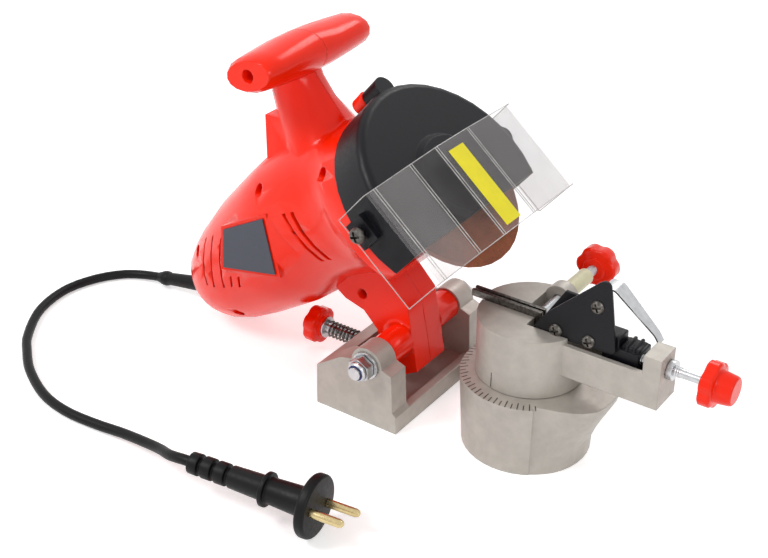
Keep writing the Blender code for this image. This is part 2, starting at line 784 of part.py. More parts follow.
def barrel_point(s, angle, inset):
    """A point on the barrel's skin, or under it, at an angle up from the near side."""
    rows = barrel_rows()
    places = [row[0] for row in rows]
    centre = float(np.interp(s, places, [row[1] for row in rows]))
    radius = float(np.interp(s, places, [row[2] for row in rows])) - inset
    return (s, -radius * math.cos(angle), centre + radius * math.sin(angle))


def round_rows(rows, sides):
    """A solid through round stations square to the s axis."""
    rings = []
    for s, centre, radius in rows:
        angles = [math.tau * i / sides for i in range(sides)]
        rings.append([(s, radius * math.cos(a), centre + radius * math.sin(a)) for a in angles])
    return loft(rings)


def barrel_hollow(inset):
    """What fills the barrel inside its wall, up to the bearing plate."""
    rows = [(s, centre, radius - inset) for s, centre, radius in barrel_rows()[2:]]
    rows.append((PLATE_BACK_S, SPINDLE_T, PLATE_RADIUS - PLATE_STEP - inset + WALL))
    floor = block((FLOOR_START_S, -FAR_AWAY, -FAR_AWAY), (FAR_AWAY, FAR_AWAY, FLOOR_T + inset))
    return cut(round_rows(rows, HOLLOW_SIDES), floor)


def oval_rings(rows, inset):
    """Oval stations of the neck, square to the t axis."""
    rings = []
    for t, centre, half_s, half_y in rows:
        angles = [math.tau * i / NECK_SIDES for i in range(NECK_SIDES)]
        rings.append([
            (centre + (half_s - inset) * math.cos(a), (half_y - inset) * math.sin(a), t) for a in angles
        ])
    return rings


def bar_rings(inset, half_length, rows):
    """Oval stations of the crossbar grip, from its near end to its far end."""
    lean = math.radians(BAR_LEAN_DEG)
    shares = [(-share, *rest) for share, *rest in reversed(rows[1:])]
    shares.extend(rows)
    rings = []
    for y_share, depth_share, height_share in shares:
        points = []
        for i in range(BAR_SIDES):
            angle = math.tau * i / BAR_SIDES
            deep = (BAR_HALF_DEPTH * depth_share - inset) * math.cos(angle)
            high = (BAR_HALF_HEIGHT * height_share - inset) * math.sin(angle)
            s = BAR_CENTRE[0] + deep * math.cos(lean) - high * math.sin(lean)
            t = BAR_CENTRE[1] + deep * math.sin(lean) + high * math.cos(lean)
            points.append((s, y_share * half_length, t))
        rings.append(points)
    return rings


def upright_block(low, high):
    """A box that is upright when the head rests, placed from the switch's face."""
    solid = block(low, high)
    place = Matrix.Translation((SWITCH_CENTRE[0], 0, SWITCH_CENTRE[1]))
    solid.data.transform(place @ Matrix.Rotation(HEAD_LEAN, 4, "Y"))
    return solid


def label_outline(scale):
    """The label's four corners, seen from the side."""
    reach = LABEL_LENGTH * scale
    return [(LABEL_CENTRE[0] + s * reach, LABEL_CENTRE[1] + t * reach) for s, t in LABEL_CORNER_SHARES]


def leg_outline():
    """The leg's side view in the head's frame."""
    return [upright(x * LEG_REACH, z * LEG_REACH) for x, z in LEG_SHARES]


def vent_cutter(vent, side):
    """A curved slot through the barrel's wall."""
    start_share, start_deg, end_share, end_deg = vent
    rings = []
    for i in range(VENT_STEPS + 1):
        part = i / VENT_STEPS
        s = BARREL_LENGTH * (start_share + part * (end_share - start_share))
        angle = math.radians(start_deg + part * (end_deg - start_deg))
        half = VENT_WIDTH / 2
        corners = ((-half, -OVERRUN), (half, -OVERRUN), (half, VENT_DEPTH), (-half, VENT_DEPTH))
        points = [barrel_point(s + shift, angle, inset) for shift, inset in corners]
        rings.append([(s, side * y, t) for s, y, t in points])
    return loft(rings)


def housing_body():
    """The whole housing before it is split: barrel, front, leg, neck, grip and its hollows."""
    rows = barrel_rows()
    rows.append((HOUSING_FRONT_S, SPINDLE_T, FRONT_RADIUS))
    body = round_rows(rows, BARREL_SIDES)
    body = joined(
        body,
        side_plate(leg_outline(), -LEG_HALF_WIDTH, LEG_HALF_WIDTH),
        rod((0, -HINGE_SLEEVE_HALF, 0), (0, HINGE_SLEEVE_HALF, 0), HINGE_SLEEVE_RADIUS),
        loft(oval_rings(NECK_ROWS + NECK_TOP_ROWS, 0)),
        loft(bar_rings(0, BAR_HALF_LENGTH, BAR_ROW_SHARES)),
        upright_block(
            (FIT, -SWITCH_MOUNT_WIDTH / 2, -SWITCH_MOUNT_HEIGHT / 2),
            (SWITCH_MOUNT_DEPTH, SWITCH_MOUNT_WIDTH / 2, SWITCH_MOUNT_HEIGHT / 2),
        ),
        side_plate(label_outline(LABEL_RIM_SHARE), -PAD_Y - OVERRUN, -PAD_Y + LABEL_PAD_DEPTH),
    )
    floor = block((FLOOR_START_S, -FAR_AWAY, -FAR_AWAY), (FAR_AWAY, FAR_AWAY, FLOOR_T))
    near_pad = block((PAD_BACK_S, -FAR_AWAY, FLOOR_T), (PAD_FRONT_S, -PAD_Y, FAR_AWAY))
    far_pad = block((PAD_BACK_S, PAD_Y, FLOOR_T), (PAD_FRONT_S, FAR_AWAY, FAR_AWAY))
    return cut(body, floor, near_pad, far_pad)


def screw_places():
    """Where each housing screw stands in the head's frame."""
    places = {}
    for name, (s_share, t_share) in TAIL_SCREW_SHARES.items():
        places[name] = (s_share * BARREL_LENGTH, t_share * MOTOR_T)
    return {**places, **SCREW_PLACES}


def housing_hollow():
    """What is taken out of the housing, leaving ribs, seats and screw bosses."""
    hollow = barrel_hollow(WALL)
    ribs = (
        (MOTOR_SHAFT_BACK_S, REAR_BEARING_LENGTH, REAR_BEARING_RADIUS),
        (STATOR_BACK_S, RIB_THICKNESS, STATOR_RADIUS),
        (STATOR_BACK_S + STATOR_LENGTH - RIB_THICKNESS, RIB_THICKNESS, STATOR_RADIUS),
    )
    for start, thickness, radius in ribs:
        rib = block((start, -FAR_AWAY, -FAR_AWAY), (start + thickness, FAR_AWAY, FAR_AWAY))
        seat = rod(
            on_motor(start - OVERRUN), on_motor(start + thickness + OVERRUN), radius + FIT
        )
        hollow = cut(hollow, cut(rib, seat))
    for s, t in screw_places().values():
        hollow = cut(hollow, rod((s, -FAR_AWAY, t), (s, FAR_AWAY, t), SCREW_BOSS_RADIUS, sides=SMALL_SIDES))
    return hollow


def sleeve_entry():
    """Where the cord's sleeve enters the tail, and which way it runs, in the head's frame."""
    drop = math.radians(SLEEVE_DROP_DEG)
    veer = math.radians(SLEEVE_VEER_DEG)
    s, t = upright(-math.cos(drop) * math.cos(veer), -math.sin(drop))
    back = Vector((s, -math.cos(drop) * math.sin(veer), t))
    return Vector((SLEEVE_INSET - BARREL_LENGTH, 0, SLEEVE_T_SHARE * MOTOR_T)), back


def screw_y():
    """Where a housing screw's head seats, and where its point ends."""
    return (-SCREW_WELL_FLOOR_Y, SCREW_ENGAGEMENT)


def build_housing():
    """Both clamshell halves, which meet at the middle plane."""
    body = cut(housing_body(), housing_hollow())
    plate_seat = rod(
        on_spindle(PLATE_BACK_S - FIT), on_spindle(FAR_AWAY), PLATE_RADIUS + FIT, sides=FINE_SIDES
    )
    plate_floor = block((0, -FAR_AWAY, -FAR_AWAY), (FAR_AWAY, FAR_AWAY, FLOOR_T + WALL))
    neck_rows = NECK_ROWS + NECK_TOP_ROWS[:1]
    entry, back = sleeve_entry()
    body = cut(
        body,
        cut(plate_seat, plate_floor),
        loft(oval_rings(neck_rows, WALL)),
        loft(bar_rings(WALL, BAR_HALF_LENGTH - BAR_END_WALL, BAR_ROW_SHARES[::2])),
        rod(
            (BAR_CENTRE[0], -BAR_HALF_LENGTH - OVERRUN, BAR_CENTRE[1]),
            (BAR_CENTRE[0], -BAR_HALF_LENGTH + BAR_SCREW_DEPTH, BAR_CENTRE[1]),
            BAR_SCREW_RADIUS, sides=SMALL_SIDES,
        ),
        upright_block(
            (-OVERRUN, -SWITCH_WIDTH / 2 + SWITCH_RIM - FIT, -SWITCH_HEIGHT / 2 + SWITCH_RIM - FIT),
            (SWITCH_DEPTH + FIT, SWITCH_WIDTH / 2 - SWITCH_RIM + FIT, SWITCH_HEIGHT / 2 - SWITCH_RIM + FIT),
        ),
        upright_block(
            (-SWITCH_MOUNT_DEPTH, -SWITCH_WIDTH / 2 - FIT, -SWITCH_HEIGHT / 2 - FIT),
            (FIT, SWITCH_WIDTH / 2 + FIT, SWITCH_HEIGHT / 2 + FIT),
        ),
        rod((0, -FAR_AWAY, 0), (0, FAR_AWAY, 0), HINGE_BOLT_RADIUS + FIT),
        rod(
            entry - back * SLEEVE_ANCHOR_LENGTH, entry + back * SLEEVE_ANCHOR_LENGTH,
            SLEEVE_RADIUS + FIT, sides=SMALL_SIDES,
        ),
    )
    for side in (1, -1):
        body = cut(body, *[vent_cutter(vent, side) for vent in VENT_SHARES])
    seat_y, point_y = screw_y()
    near = common(
        copied(body), block((-FAR_AWAY, -FAR_AWAY, -FAR_AWAY), (FAR_AWAY, -SPLIT_GAP / 2, FAR_AWAY))
    )
    far = common(body, block((-FAR_AWAY, SPLIT_GAP / 2, -FAR_AWAY), (FAR_AWAY, FAR_AWAY, FAR_AWAY)))
    for s, t in screw_places().values():
        near = cut(
            near,
            rod((s, -FAR_AWAY, t), (s, seat_y, t), SCREW_WELL_RADIUS, sides=SMALL_SIDES),
            rod((s, seat_y - OVERRUN, t), (s, OVERRUN, t), SCREW_SHANK_RADIUS + FIT, sides=SMALL_SIDES),
        )
        far = cut(
            far, rod((s, -OVERRUN, t), (s, point_y + FIT, t), SCREW_SHANK_RADIUS + FIT, sides=SMALL_SIDES)
        )
    finished(near, "housing_near", "red_abs", HEAD)
    finished(far, "housing_far", "red_abs", HEAD)


def build_housing_screws():
    """The screws that hold the two halves together, down their wells."""
    seat_y, point_y = screw_y()
    head_y = seat_y - FIT
    for name, (s, t) in screw_places().items():
        shank = point_y - head_y
        top = shank + SCREW_HEAD_HEIGHT
        profile = (
            (0, 0), (0, SCREW_SHANK_RADIUS), (shank, SCREW_SHANK_RADIUS),
            (shank, SCREW_HEAD_RADIUS), (top, SCREW_HEAD_RADIUS), (top, 0),
        )
        screw = turned(profile, (s, point_y, t), (0, -1, 0), SMALL_SIDES)
        finished(screw, "housing_screw_" + name, "dark_steel", HEAD)


def build_label():
    """The bare plate on the near side's pad."""
    face = -PAD_Y - FIT
    label = side_plate(label_outline(1), face - LABEL_THICKNESS, face)
    finished(label, "label_plate", "label", HEAD)


def build_motor():
    """The stator, its armature, brushes, fan and bearings, all on the motor's axis."""
    stator = ring(
        on_motor(STATOR_BACK_S), ALONG, STATOR_LENGTH, STATOR_RADIUS, STATOR_BORE_RADIUS
    )
    finished(stator, "motor_stator", "laminate", HEAD)
    bore = MOTOR_SHAFT_RADIUS + FIT
    core_start = STATOR_BACK_S + RUNNING_GAP
    core = ring(on_motor(core_start), ALONG, STATOR_LENGTH - 2 * RUNNING_GAP, ARMATURE_RADIUS, bore)
    finished(core, "armature_core", "copper", ARMATURE_AXIS)
    shaft = rod(
        on_motor(MOTOR_SHAFT_BACK_S), on_motor(MOTOR_SHAFT_FRONT_S), MOTOR_SHAFT_RADIUS, sides=SMALL_SIDES
    )
    finished(shaft, "motor_shaft", "zinc", ARMATURE_AXIS)
    commutator = ring(on_motor(COMMUTATOR_BACK_S), ALONG, COMMUTATOR_LENGTH, COMMUTATOR_RADIUS, bore)
    finished(commutator, "commutator", "copper", ARMATURE_AXIS)
    rear = ring(on_motor(MOTOR_SHAFT_BACK_S), ALONG, REAR_BEARING_LENGTH, REAR_BEARING_RADIUS, bore)
    finished(rear, "motor_bearing_rear", "zinc", HEAD)
    front = ring(on_motor(BRACKET_BACK_S), ALONG, BRACKET_THICKNESS, FRONT_BEARING_RADIUS, bore)
    finished(front, "motor_bearing_front", "zinc", HEAD)
    brush_s = COMMUTATOR_BACK_S + COMMUTATOR_LENGTH / 2
    _, shell_y, _ = barrel_point(brush_s, 0, WALL)
    for name, side in (("brush_near", -1), ("brush_far", 1)):
        inner = side * (COMMUTATOR_RADIUS + FIT)
        outer = side * abs(shell_y) * BRUSH_REACH_SHARE
        brush = block(
            (brush_s - BRUSH_WIDTH / 2, min(inner, outer), MOTOR_T - BRUSH_HEIGHT / 2),
            (brush_s + BRUSH_WIDTH / 2, max(inner, outer), MOTOR_T + BRUSH_HEIGHT / 2),
        )
        finished(brush, name, "brass", HEAD)


def build_fan():
    """The cooling fan: a hub, a plate and straight blades."""
    bore = MOTOR_SHAFT_RADIUS + FIT
    profile = (
        (0, bore), (0, FAN_RADIUS), (FAN_PLATE, FAN_RADIUS), (FAN_PLATE, FAN_HUB_RADIUS),
        (FAN_LENGTH, FAN_HUB_RADIUS), (FAN_LENGTH, bore),
    )
    fan = turned(profile, on_motor(FAN_BACK_S), ALONG)
    for i in range(FAN_BLADE_COUNT):
        blade = block(
            (FAN_BACK_S + FAN_PLATE / 2, (bore + FAN_HUB_RADIUS) / 2, -FAN_BLADE_THICKNESS / 2),
            (FAN_BACK_S + FAN_LENGTH - FINE, FAN_RADIUS - FAN_BLADE_THICKNESS, FAN_BLADE_THICKNESS / 2),
        )
        turn = Matrix.Rotation(math.tau * i / FAN_BLADE_COUNT, 4, "X")
        blade.data.transform(Matrix.Translation(MOTOR_AXIS) @ turn)
        fan = joined(fan, blade)
    finished(fan, "cooling_fan", "black_plastic", ARMATURE_AXIS)


def build_bracket_and_plate():
    """The inner bracket and the bearing plate that carry the two shafts."""
    slab = block((BRACKET_BACK_S, -FAR_AWAY, -FAR_AWAY), (BRACKET_FRONT_S, FAR_AWAY, FAR_AWAY))
    bracket = cut(
        common(barrel_hollow(WALL + FIT), slab),
        rod(on_motor(0), on_motor(FAR_AWAY), FRONT_BEARING_RADIUS + FIT),
        rod(on_spindle(0), on_spindle(FAR_AWAY), SPINDLE_RADIUS + FIT),
    )
    finished(bracket, "drive_bracket", "black_plastic", HEAD)
    plate = cut(
        rod(on_spindle(PLATE_BACK_S), on_spindle(HOUSING_FRONT_S), PLATE_RADIUS, sides=FINE_SIDES),
        block((0, -FAR_AWAY, -FAR_AWAY), (FAR_AWAY, FAR_AWAY, FLOOR_T + WALL + FIT)),
        rod(on_spindle(0), on_spindle(FAR_AWAY), SPINDLE_BEARING_RADIUS + FIT),
    )
    finished(plate, "bearing_plate", "cast_metal", HEAD)
    bearing = ring(
        on_spindle(PLATE_BACK_S), ALONG, PLATE_THICKNESS, SPINDLE_BEARING_RADIUS, SPINDLE_RADIUS + FIT
    )
    finished(bearing, "spindle_bearing", "zinc", HEAD)


def pulley_radius(teeth):
    """A pulley's radius under its belt."""
    return teeth * BELT_PITCH / math.tau - BELT_THICKNESS / 2


def belt_outline(grow):
    """The loop round both pulleys, across y and along t, at a distance from them."""
    low = pulley_radius(SPINDLE_PULLEY_TEETH) + grow
    high = pulley_radius(MOTOR_PULLEY_TEETH) + grow
    lean = math.acos((low - high) / (MOTOR_T - SPINDLE_T))
    points = []
    for i in range(BELT_ARC_STEPS + 1):
        angle = -lean + 2 * lean * i / BELT_ARC_STEPS
        points.append((high * math.sin(angle), MOTOR_T + high * math.cos(angle)))
    for i in range(BELT_ARC_STEPS + 1):
        angle = lean + (math.tau - 2 * lean) * i / BELT_ARC_STEPS
        points.append((low * math.sin(angle), SPINDLE_T + low * math.cos(angle)))
    return points


def build_belt_drive():
    """Two toothed pulleys and the belt round them."""
    middle = PULLEY_BACK_S + PULLEY_LENGTH / 2
    belt = cut(
        extruded(belt_outline(FIT + BELT_THICKNESS), BELT_WIDTH, ACROSS, (0, 0, 1), (middle, 0, 0)),
        extruded(belt_outline(FIT), BELT_WIDTH + OVERRUN, ACROSS, (0, 0, 1), (middle, 0, 0)),
    )
    finished(belt, "drive_belt", "rubber", HEAD)
    small = ring(
        on_motor(PULLEY_BACK_S), ALONG, PULLEY_LENGTH,
        pulley_radius(MOTOR_PULLEY_TEETH), MOTOR_SHAFT_RADIUS + FIT,
    )
    finished(small, "motor_pulley", "zinc", ARMATURE_AXIS)
    large = ring(
        on_spindle(PULLEY_BACK_S), ALONG, PULLEY_LENGTH,
        pulley_radius(SPINDLE_PULLEY_TEETH), SPINDLE_RADIUS + FIT,
    )
    finished(large, "spindle_pulley", "black_plastic", DISC_AXIS)


def build_spindle():
    """The spindle, the grinding disc and what clamps it."""
    shoulder_front = DISC_BACK_S - FIT
    shoulder_back = shoulder_front - SPINDLE_SHOULDER_LENGTH
    low = shoulder_back - SPINDLE_BACK_S
    high = shoulder_front - SPINDLE_BACK_S
    end = NUT_BACK_S + SPINDLE_NUT_LENGTH - FIT - SPINDLE_BACK_S
    profile = (
        (0, 0), (0, SPINDLE_RADIUS), (low, SPINDLE_RADIUS), (low, SPINDLE_SHOULDER_RADIUS),
        (high, SPINDLE_SHOULDER_RADIUS), (high, SPINDLE_RADIUS), (end, SPINDLE_RADIUS), (end, 0),
    )
    finished(turned(profile, on_spindle(SPINDLE_BACK_S), ALONG), "spindle", "zinc", DISC_AXIS)
    bore = SPINDLE_RADIUS + FIT
    edge = DISC_EDGE_BEVEL
    disc_profile = (
        (0, bore), (0, DISC_RADIUS - edge), (edge, DISC_RADIUS), (DISC_THICKNESS - edge, DISC_RADIUS),
        (DISC_THICKNESS, DISC_RADIUS - edge), (DISC_THICKNESS, bore),
    )
    finished(
        turned(disc_profile, on_spindle(DISC_BACK_S), ALONG, GUARD_SIDES), "grinding_disc", "abrasive",
        DISC_AXIS,
    )
    flange = ring(on_spindle(FLANGE_BACK_S), ALONG, FLANGE_THICKNESS, FLANGE_RADIUS, bore)
    finished(flange, "disc_flange_outer", "zinc", DISC_AXIS)
    nut = rod(
        on_spindle(NUT_BACK_S), on_spindle(NUT_BACK_S + SPINDLE_NUT_LENGTH), SPINDLE_NUT_RADIUS,
        sides=HEX_SIDES,
    )
    hole = rod(
        on_spindle(NUT_BACK_S - OVERRUN), on_spindle(NUT_BACK_S + OVERRUN + SPINDLE_NUT_LENGTH), bore
    )
    finished(cut(nut, hole), "spindle_nut", "zinc", DISC_AXIS)


def arc(centre, radius, from_deg, to_deg, steps):
    """Points of an arc; the angles run from the plane's second axis to its first."""
    points = []
    for i in range(steps + 1):
        angle = math.radians(from_deg + (to_deg - from_deg) * i / steps)
        points.append((centre[0] + radius * math.sin(angle), centre[1] + radius * math.cos(angle)))
    return points


def build_guard():
    """The cup over the disc, cut flat and open below, with the visor's lugs."""
    back = HOUSING_FRONT_S + FIT
    face = GUARD_FACE_S - back
    inner_face = face - GUARD_WALL
    inner_round = GUARD_ROUND - GUARD_WALL
    bump = GUARD_BUMP_RADIUS
    proud = GUARD_BUMP_PROUD
    profile = [
        (inner_face + proud, 0), (inner_face + proud, bump - proud - GUARD_WALL),
        (inner_face, bump - GUARD_WALL),
    ]
    rim = (face - GUARD_ROUND, GUARD_RADIUS - GUARD_ROUND)
    profile += arc(rim, inner_round, 90, 0, GUARD_ROUND_STEPS)
    profile += [(0, GUARD_RADIUS - GUARD_WALL), (0, GUARD_RADIUS)]
    profile += arc(rim, GUARD_ROUND, 0, 90, GUARD_ROUND_STEPS)
    profile += [(face, bump), (face + proud, bump - proud), (face + proud, 0)]
    guard = turned(profile, on_spindle(back), ALONG, GUARD_SIDES)
    core_radius = GUARD_RADIUS - GUARD_WALL / 2
    lug_low = VISOR_PIVOT_T - LUG_HEIGHT / 2
    for side in (-1, 1):
        ends = sorted((side * LUG_ROOT_Y, side * LUG_REACH_Y))
        lug = block(
            (LUG_BACK_S, ends[0], lug_low), (LUG_BACK_S + LUG_LENGTH, ends[1], lug_low + LUG_HEIGHT)
        )
        core = rod(on_spindle(0), on_spindle(FAR_AWAY), core_radius, sides=GUARD_SIDES)
        guard = joined(guard, cut(lug, core))
    boss = rod(
        (LUG_BACK_S, GUARD_BOSS_Y, GUARD_BOSS_T),
        (LUG_BACK_S + GUARD_BOSS_LENGTH, GUARD_BOSS_Y, GUARD_BOSS_T), GUARD_BOSS_RADIUS,
    )
    core = rod(on_spindle(0), on_spindle(FAR_AWAY), core_radius, sides=GUARD_SIDES)
    guard = joined(guard, cut(boss, core))
    reach = LUG_REACH_Y - VISOR_SCREW_DEPTH
    guard = cut(
        guard,
        block((0, -FAR_AWAY, -FAR_AWAY), (FAR_AWAY, FAR_AWAY, FLOOR_T)),
        rod(
            (VISOR_PIVOT_S, -FAR_AWAY, VISOR_PIVOT_T), (VISOR_PIVOT_S, -reach, VISOR_PIVOT_T),
            VISOR_SCREW_RADIUS + FIT, sides=SMALL_SIDES,
        ),
        rod(
            (VISOR_PIVOT_S, reach, VISOR_PIVOT_T), (VISOR_PIVOT_S, FAR_AWAY, VISOR_PIVOT_T),
            VISOR_SCREW_RADIUS + FIT, sides=SMALL_SIDES,
        ),
    )
    finished(guard, "disc_guard", "black_plastic", HEAD)


def visor_path():
    """The visor's inner face seen along t, from its near back edge round to the far one."""
    half_width = LUG_REACH_Y + FIT
    depth = VISOR_CREST_S - VISOR_FOLD_S
    folds = [(VISOR_FOLD_S + share * depth, y_share * half_width) for y_share, share in VISOR_FOLD_SHARES]
    return [(VISOR_BACK_S, -half_width), *folds, (VISOR_BACK_S, half_width)]


def build_visor():
    """The clear sheet folded round the guard's front, on its two screws."""
    bm = bmesh.new()
    columns = []
    for s, y in visor_path():
        columns.append((bm.verts.new((s, y, VISOR_BOTTOM_T)), bm.verts.new((s, y, VISOR_TOP_T))))
    for (low_a, high_a), (low_b, high_b) in zip(columns, columns[1:]):
        bm.faces.new((low_a, low_b, high_b, high_a))
    mesh = bpy.data.meshes.new("sheet")
    bm.to_mesh(mesh)
    bm.free()
    sheet = bpy.data.objects.new("sheet", mesh)
    PARTS.objects.link(sheet)
    wall = sheet.modifiers.new("wall", "SOLIDIFY")
    wall.thickness = VISOR_THICKNESS
    wall.offset = 1
    wall.use_even_offset = True
    visor = as_mesh(sheet)
    hole = rod(
        (VISOR_PIVOT_S, -FAR_AWAY, VISOR_PIVOT_T), (VISOR_PIVOT_S, FAR_AWAY, VISOR_PIVOT_T),
        VISOR_SCREW_RADIUS + FIT, sides=SMALL_SIDES,
    )
    finished(cut(visor, hole), "visor", "clear_sheet", VISOR_PIVOT)
    head_y = LUG_REACH_Y + VISOR_THICKNESS + 2 * FIT + FIT
    length = head_y - (LUG_REACH_Y - VISOR_SCREW_DEPTH) - FIT
    profile = (
        (0, 0), (0, VISOR_SCREW_RADIUS), (length, VISOR_SCREW_RADIUS), (length, VISOR_SCREW_HEAD_RADIUS),
        (length + VISOR_SCREW_HEAD_LENGTH / 2, VISOR_SCREW_HEAD_RADIUS),
        (length + VISOR_SCREW_HEAD_LENGTH, VISOR_SCREW_HEAD_RADIUS / 2),
        (length + VISOR_SCREW_HEAD_LENGTH, 0),
    )
    for name, side in (("visor_screw_near", -1), ("visor_screw_far", 1)):
        screw = turned(
            profile, (VISOR_PIVOT_S, side * (head_y - length), VISOR_PIVOT_T), (0, side, 0), SMALL_SIDES
        )
        finished(screw, name, "dark_steel", HEAD)


def build_switch():
    """The rocker switch, upright on the back of the neck."""
    rim = upright_block(
        (-SWITCH_RIM_PROUD, -SWITCH_WIDTH / 2, -SWITCH_HEIGHT / 2), (0, SWITCH_WIDTH / 2, SWITCH_HEIGHT / 2)
    )
    inside_y = SWITCH_WIDTH / 2 - SWITCH_RIM
    inside_z = SWITCH_HEIGHT / 2 - SWITCH_RIM
    body = joined(rim, upright_block((-FINE, -inside_y, -inside_z), (SWITCH_DEPTH, inside_y, inside_z)))
    hole_y = ROCKER_WIDTH / 2 + FIT
    hole_z = ROCKER_HEIGHT / 2 + ROCKER_CLEARANCE
    body = cut(body, upright_block((-OVERRUN, -hole_y, -hole_z), (ROCKER_DEPTH, hole_y, hole_z)))
    finished(body, "switch_body", "black_plastic", HEAD)
    s, t = upright(ROCKER_PIVOT_DEPTH, 0)
    place = (SWITCH_CENTRE[0] + s, 0, SWITCH_CENTRE[1] + t)
    pivot = carrier("rocker_pivot", place, place, HEAD)
    back = ROCKER_DEPTH - ROCKER_CLEARANCE * 2
    half = ROCKER_HEIGHT / 2
    outline = (
        (back, -half * ROCKER_BACK_SHARE), (back, half * ROCKER_BACK_SHARE), (0, half), (-ROCKER_CREST, 0),
        (0, -half),
    )
    points = []
    for x, z in outline:
        s, t = upright(x, z)
        points.append((SWITCH_CENTRE[0] + s, SWITCH_CENTRE[1] + t))
    rocker = side_plate(points, -ROCKER_WIDTH / 2, ROCKER_WIDTH / 2)
    finished(rocker, "switch_rocker", "black_plastic", pivot)


def bracket_outline():
    """The side view of the hinge bracket, with the round tops of its lugs."""
    front_x = BASE_REAR_X + BASE_LENGTH
    rear = [(BASE_REAR_X + x * BASE_LENGTH, z * HINGE_HEIGHT) for x, z in LUG_REAR_SHARES]
    front = [(BASE_REAR_X + x * BASE_LENGTH, z * HINGE_HEIGHT) for x, z in LUG_FRONT_SHARES]
    top = arc((0, HINGE_HEIGHT), LUG_BOSS_RADIUS, -QUARTER_DEG, QUARTER_DEG, LUG_BOSS_STEPS)
    return [(BASE_REAR_X, -OVERRUN), *rear, *top, *front, (front_x, -OVERRUN)]


def bay_outline():
    """The side view of what is open between the lugs."""
    front_x = BASE_REAR_X + BASE_LENGTH
    wall_x = BASE_REAR_X + REAR_WALL_THICKNESS
    lip_x = front_x - BASE_LIP_WIDTH
    return [
        (wall_x, BASE_FLOOR_HEIGHT), (lip_x, BASE_FLOOR_HEIGHT), (lip_x, BASE_LIP_HEIGHT),
        (FAR_AWAY, BASE_LIP_HEIGHT), (FAR_AWAY, FAR_AWAY), (-FAR_AWAY, FAR_AWAY),
        (-FAR_AWAY, REAR_WALL_HEIGHT), (wall_x, REAR_WALL_HEIGHT),
    ]


def build_base():
    """The one base casting: hinge bracket, web and vise drum, cut level at the bench."""
    front_x = BASE_REAR_X + BASE_LENGTH
    base = cut(
        side_plate(bracket_outline(), -BASE_HALF_WIDTH, BASE_HALF_WIDTH),
        side_plate(bay_outline(), -LUG_INNER_Y, LUG_INNER_Y),
    )
    centre = (VISE_X, VISE_Y, 0)
    drum_profile = (
        (-OVERRUN, DRUM_HOLLOW_RADIUS), (-OVERRUN, DRUM_FOOT_RADIUS), (0, DRUM_FOOT_RADIUS),
        (DRUM_RING_Z, DRUM_RING_RADIUS), (DRUM_TOP_Z, DRUM_TOP_RADIUS),
        (DRUM_TOP_Z, SWIVEL_BOLT_RADIUS + FIT), (DRUM_HOLLOW_HEIGHT, SWIVEL_BOLT_RADIUS + FIT),
        (DRUM_HOLLOW_HEIGHT, DRUM_HOLLOW_RADIUS),
    )
    drum = turned(drum_profile, centre, (0, 0, 1), DRUM_SIDES)
    wing_profile = [(z * WING_HEIGHT, r * WING_RADIUS) for z, r in WING_ROWS_SHARES]
    foot = [(-OVERRUN, 0), (-OVERRUN, wing_profile[0][1])]
    wing = turned([*foot, *wing_profile, (WING_HEIGHT, 0)], centre, (0, 0, 1), DRUM_SIDES)
    reach = 2 * WING_RADIUS
    right, left = (QUARTER_DEG - WING_DEG, QUARTER_DEG + WING_DEG)
    fan = [(VISE_X, VISE_Y), *arc((VISE_X, VISE_Y), reach, right, left, WING_STEPS)]
    wedge = extruded(fan, 2 * (WING_HEIGHT + OVERRUN), (1, 0, 0), (0, 1, 0), (0, 0, 0))
    core_radius = (DRUM_HOLLOW_RADIUS + DRUM_FOOT_RADIUS) / 2
    core = rod(
        (VISE_X, VISE_Y, -FAR_AWAY), (VISE_X, VISE_Y, FAR_AWAY), core_radius, sides=DRUM_SIDES
    )
    web = block(
        (front_x - BASE_LIP_WIDTH / 2, WEB_NEAR_Y, -OVERRUN), (VISE_X, WEB_FAR_Y, WEB_HEIGHT)
    )
    web = cut(web, copied(core))
    wing = cut(common(wing, wedge), core)
    base = joined(base, drum, wing, web)
    bench_holes = [
        rod(
            (BENCH_HOLE_X, side * BENCH_HOLE_Y, -FAR_AWAY),
            (BENCH_HOLE_X, side * BENCH_HOLE_Y, REAR_WALL_HEIGHT), BENCH_HOLE_RADIUS, sides=SMALL_SIDES,
        )
        for side in (-1, 1)
    ]
    base = cut(
        base,
        block((-FAR_AWAY, -FAR_AWAY, -FAR_AWAY), (FAR_AWAY, FAR_AWAY, 0)),
        rod((0, -FAR_AWAY, HINGE_HEIGHT), (0, FAR_AWAY, HINGE_HEIGHT), HINGE_BOLT_RADIUS + FIT),
        rod(
            (-FAR_AWAY, 0, DEPTH_SCREW_Z), (0, 0, DEPTH_SCREW_Z), DEPTH_SCREW_RADIUS + FIT,
            sides=SMALL_SIDES,
        ),
        *bench_holes,
    )
    finished(base, "base_casting", "cast_metal")


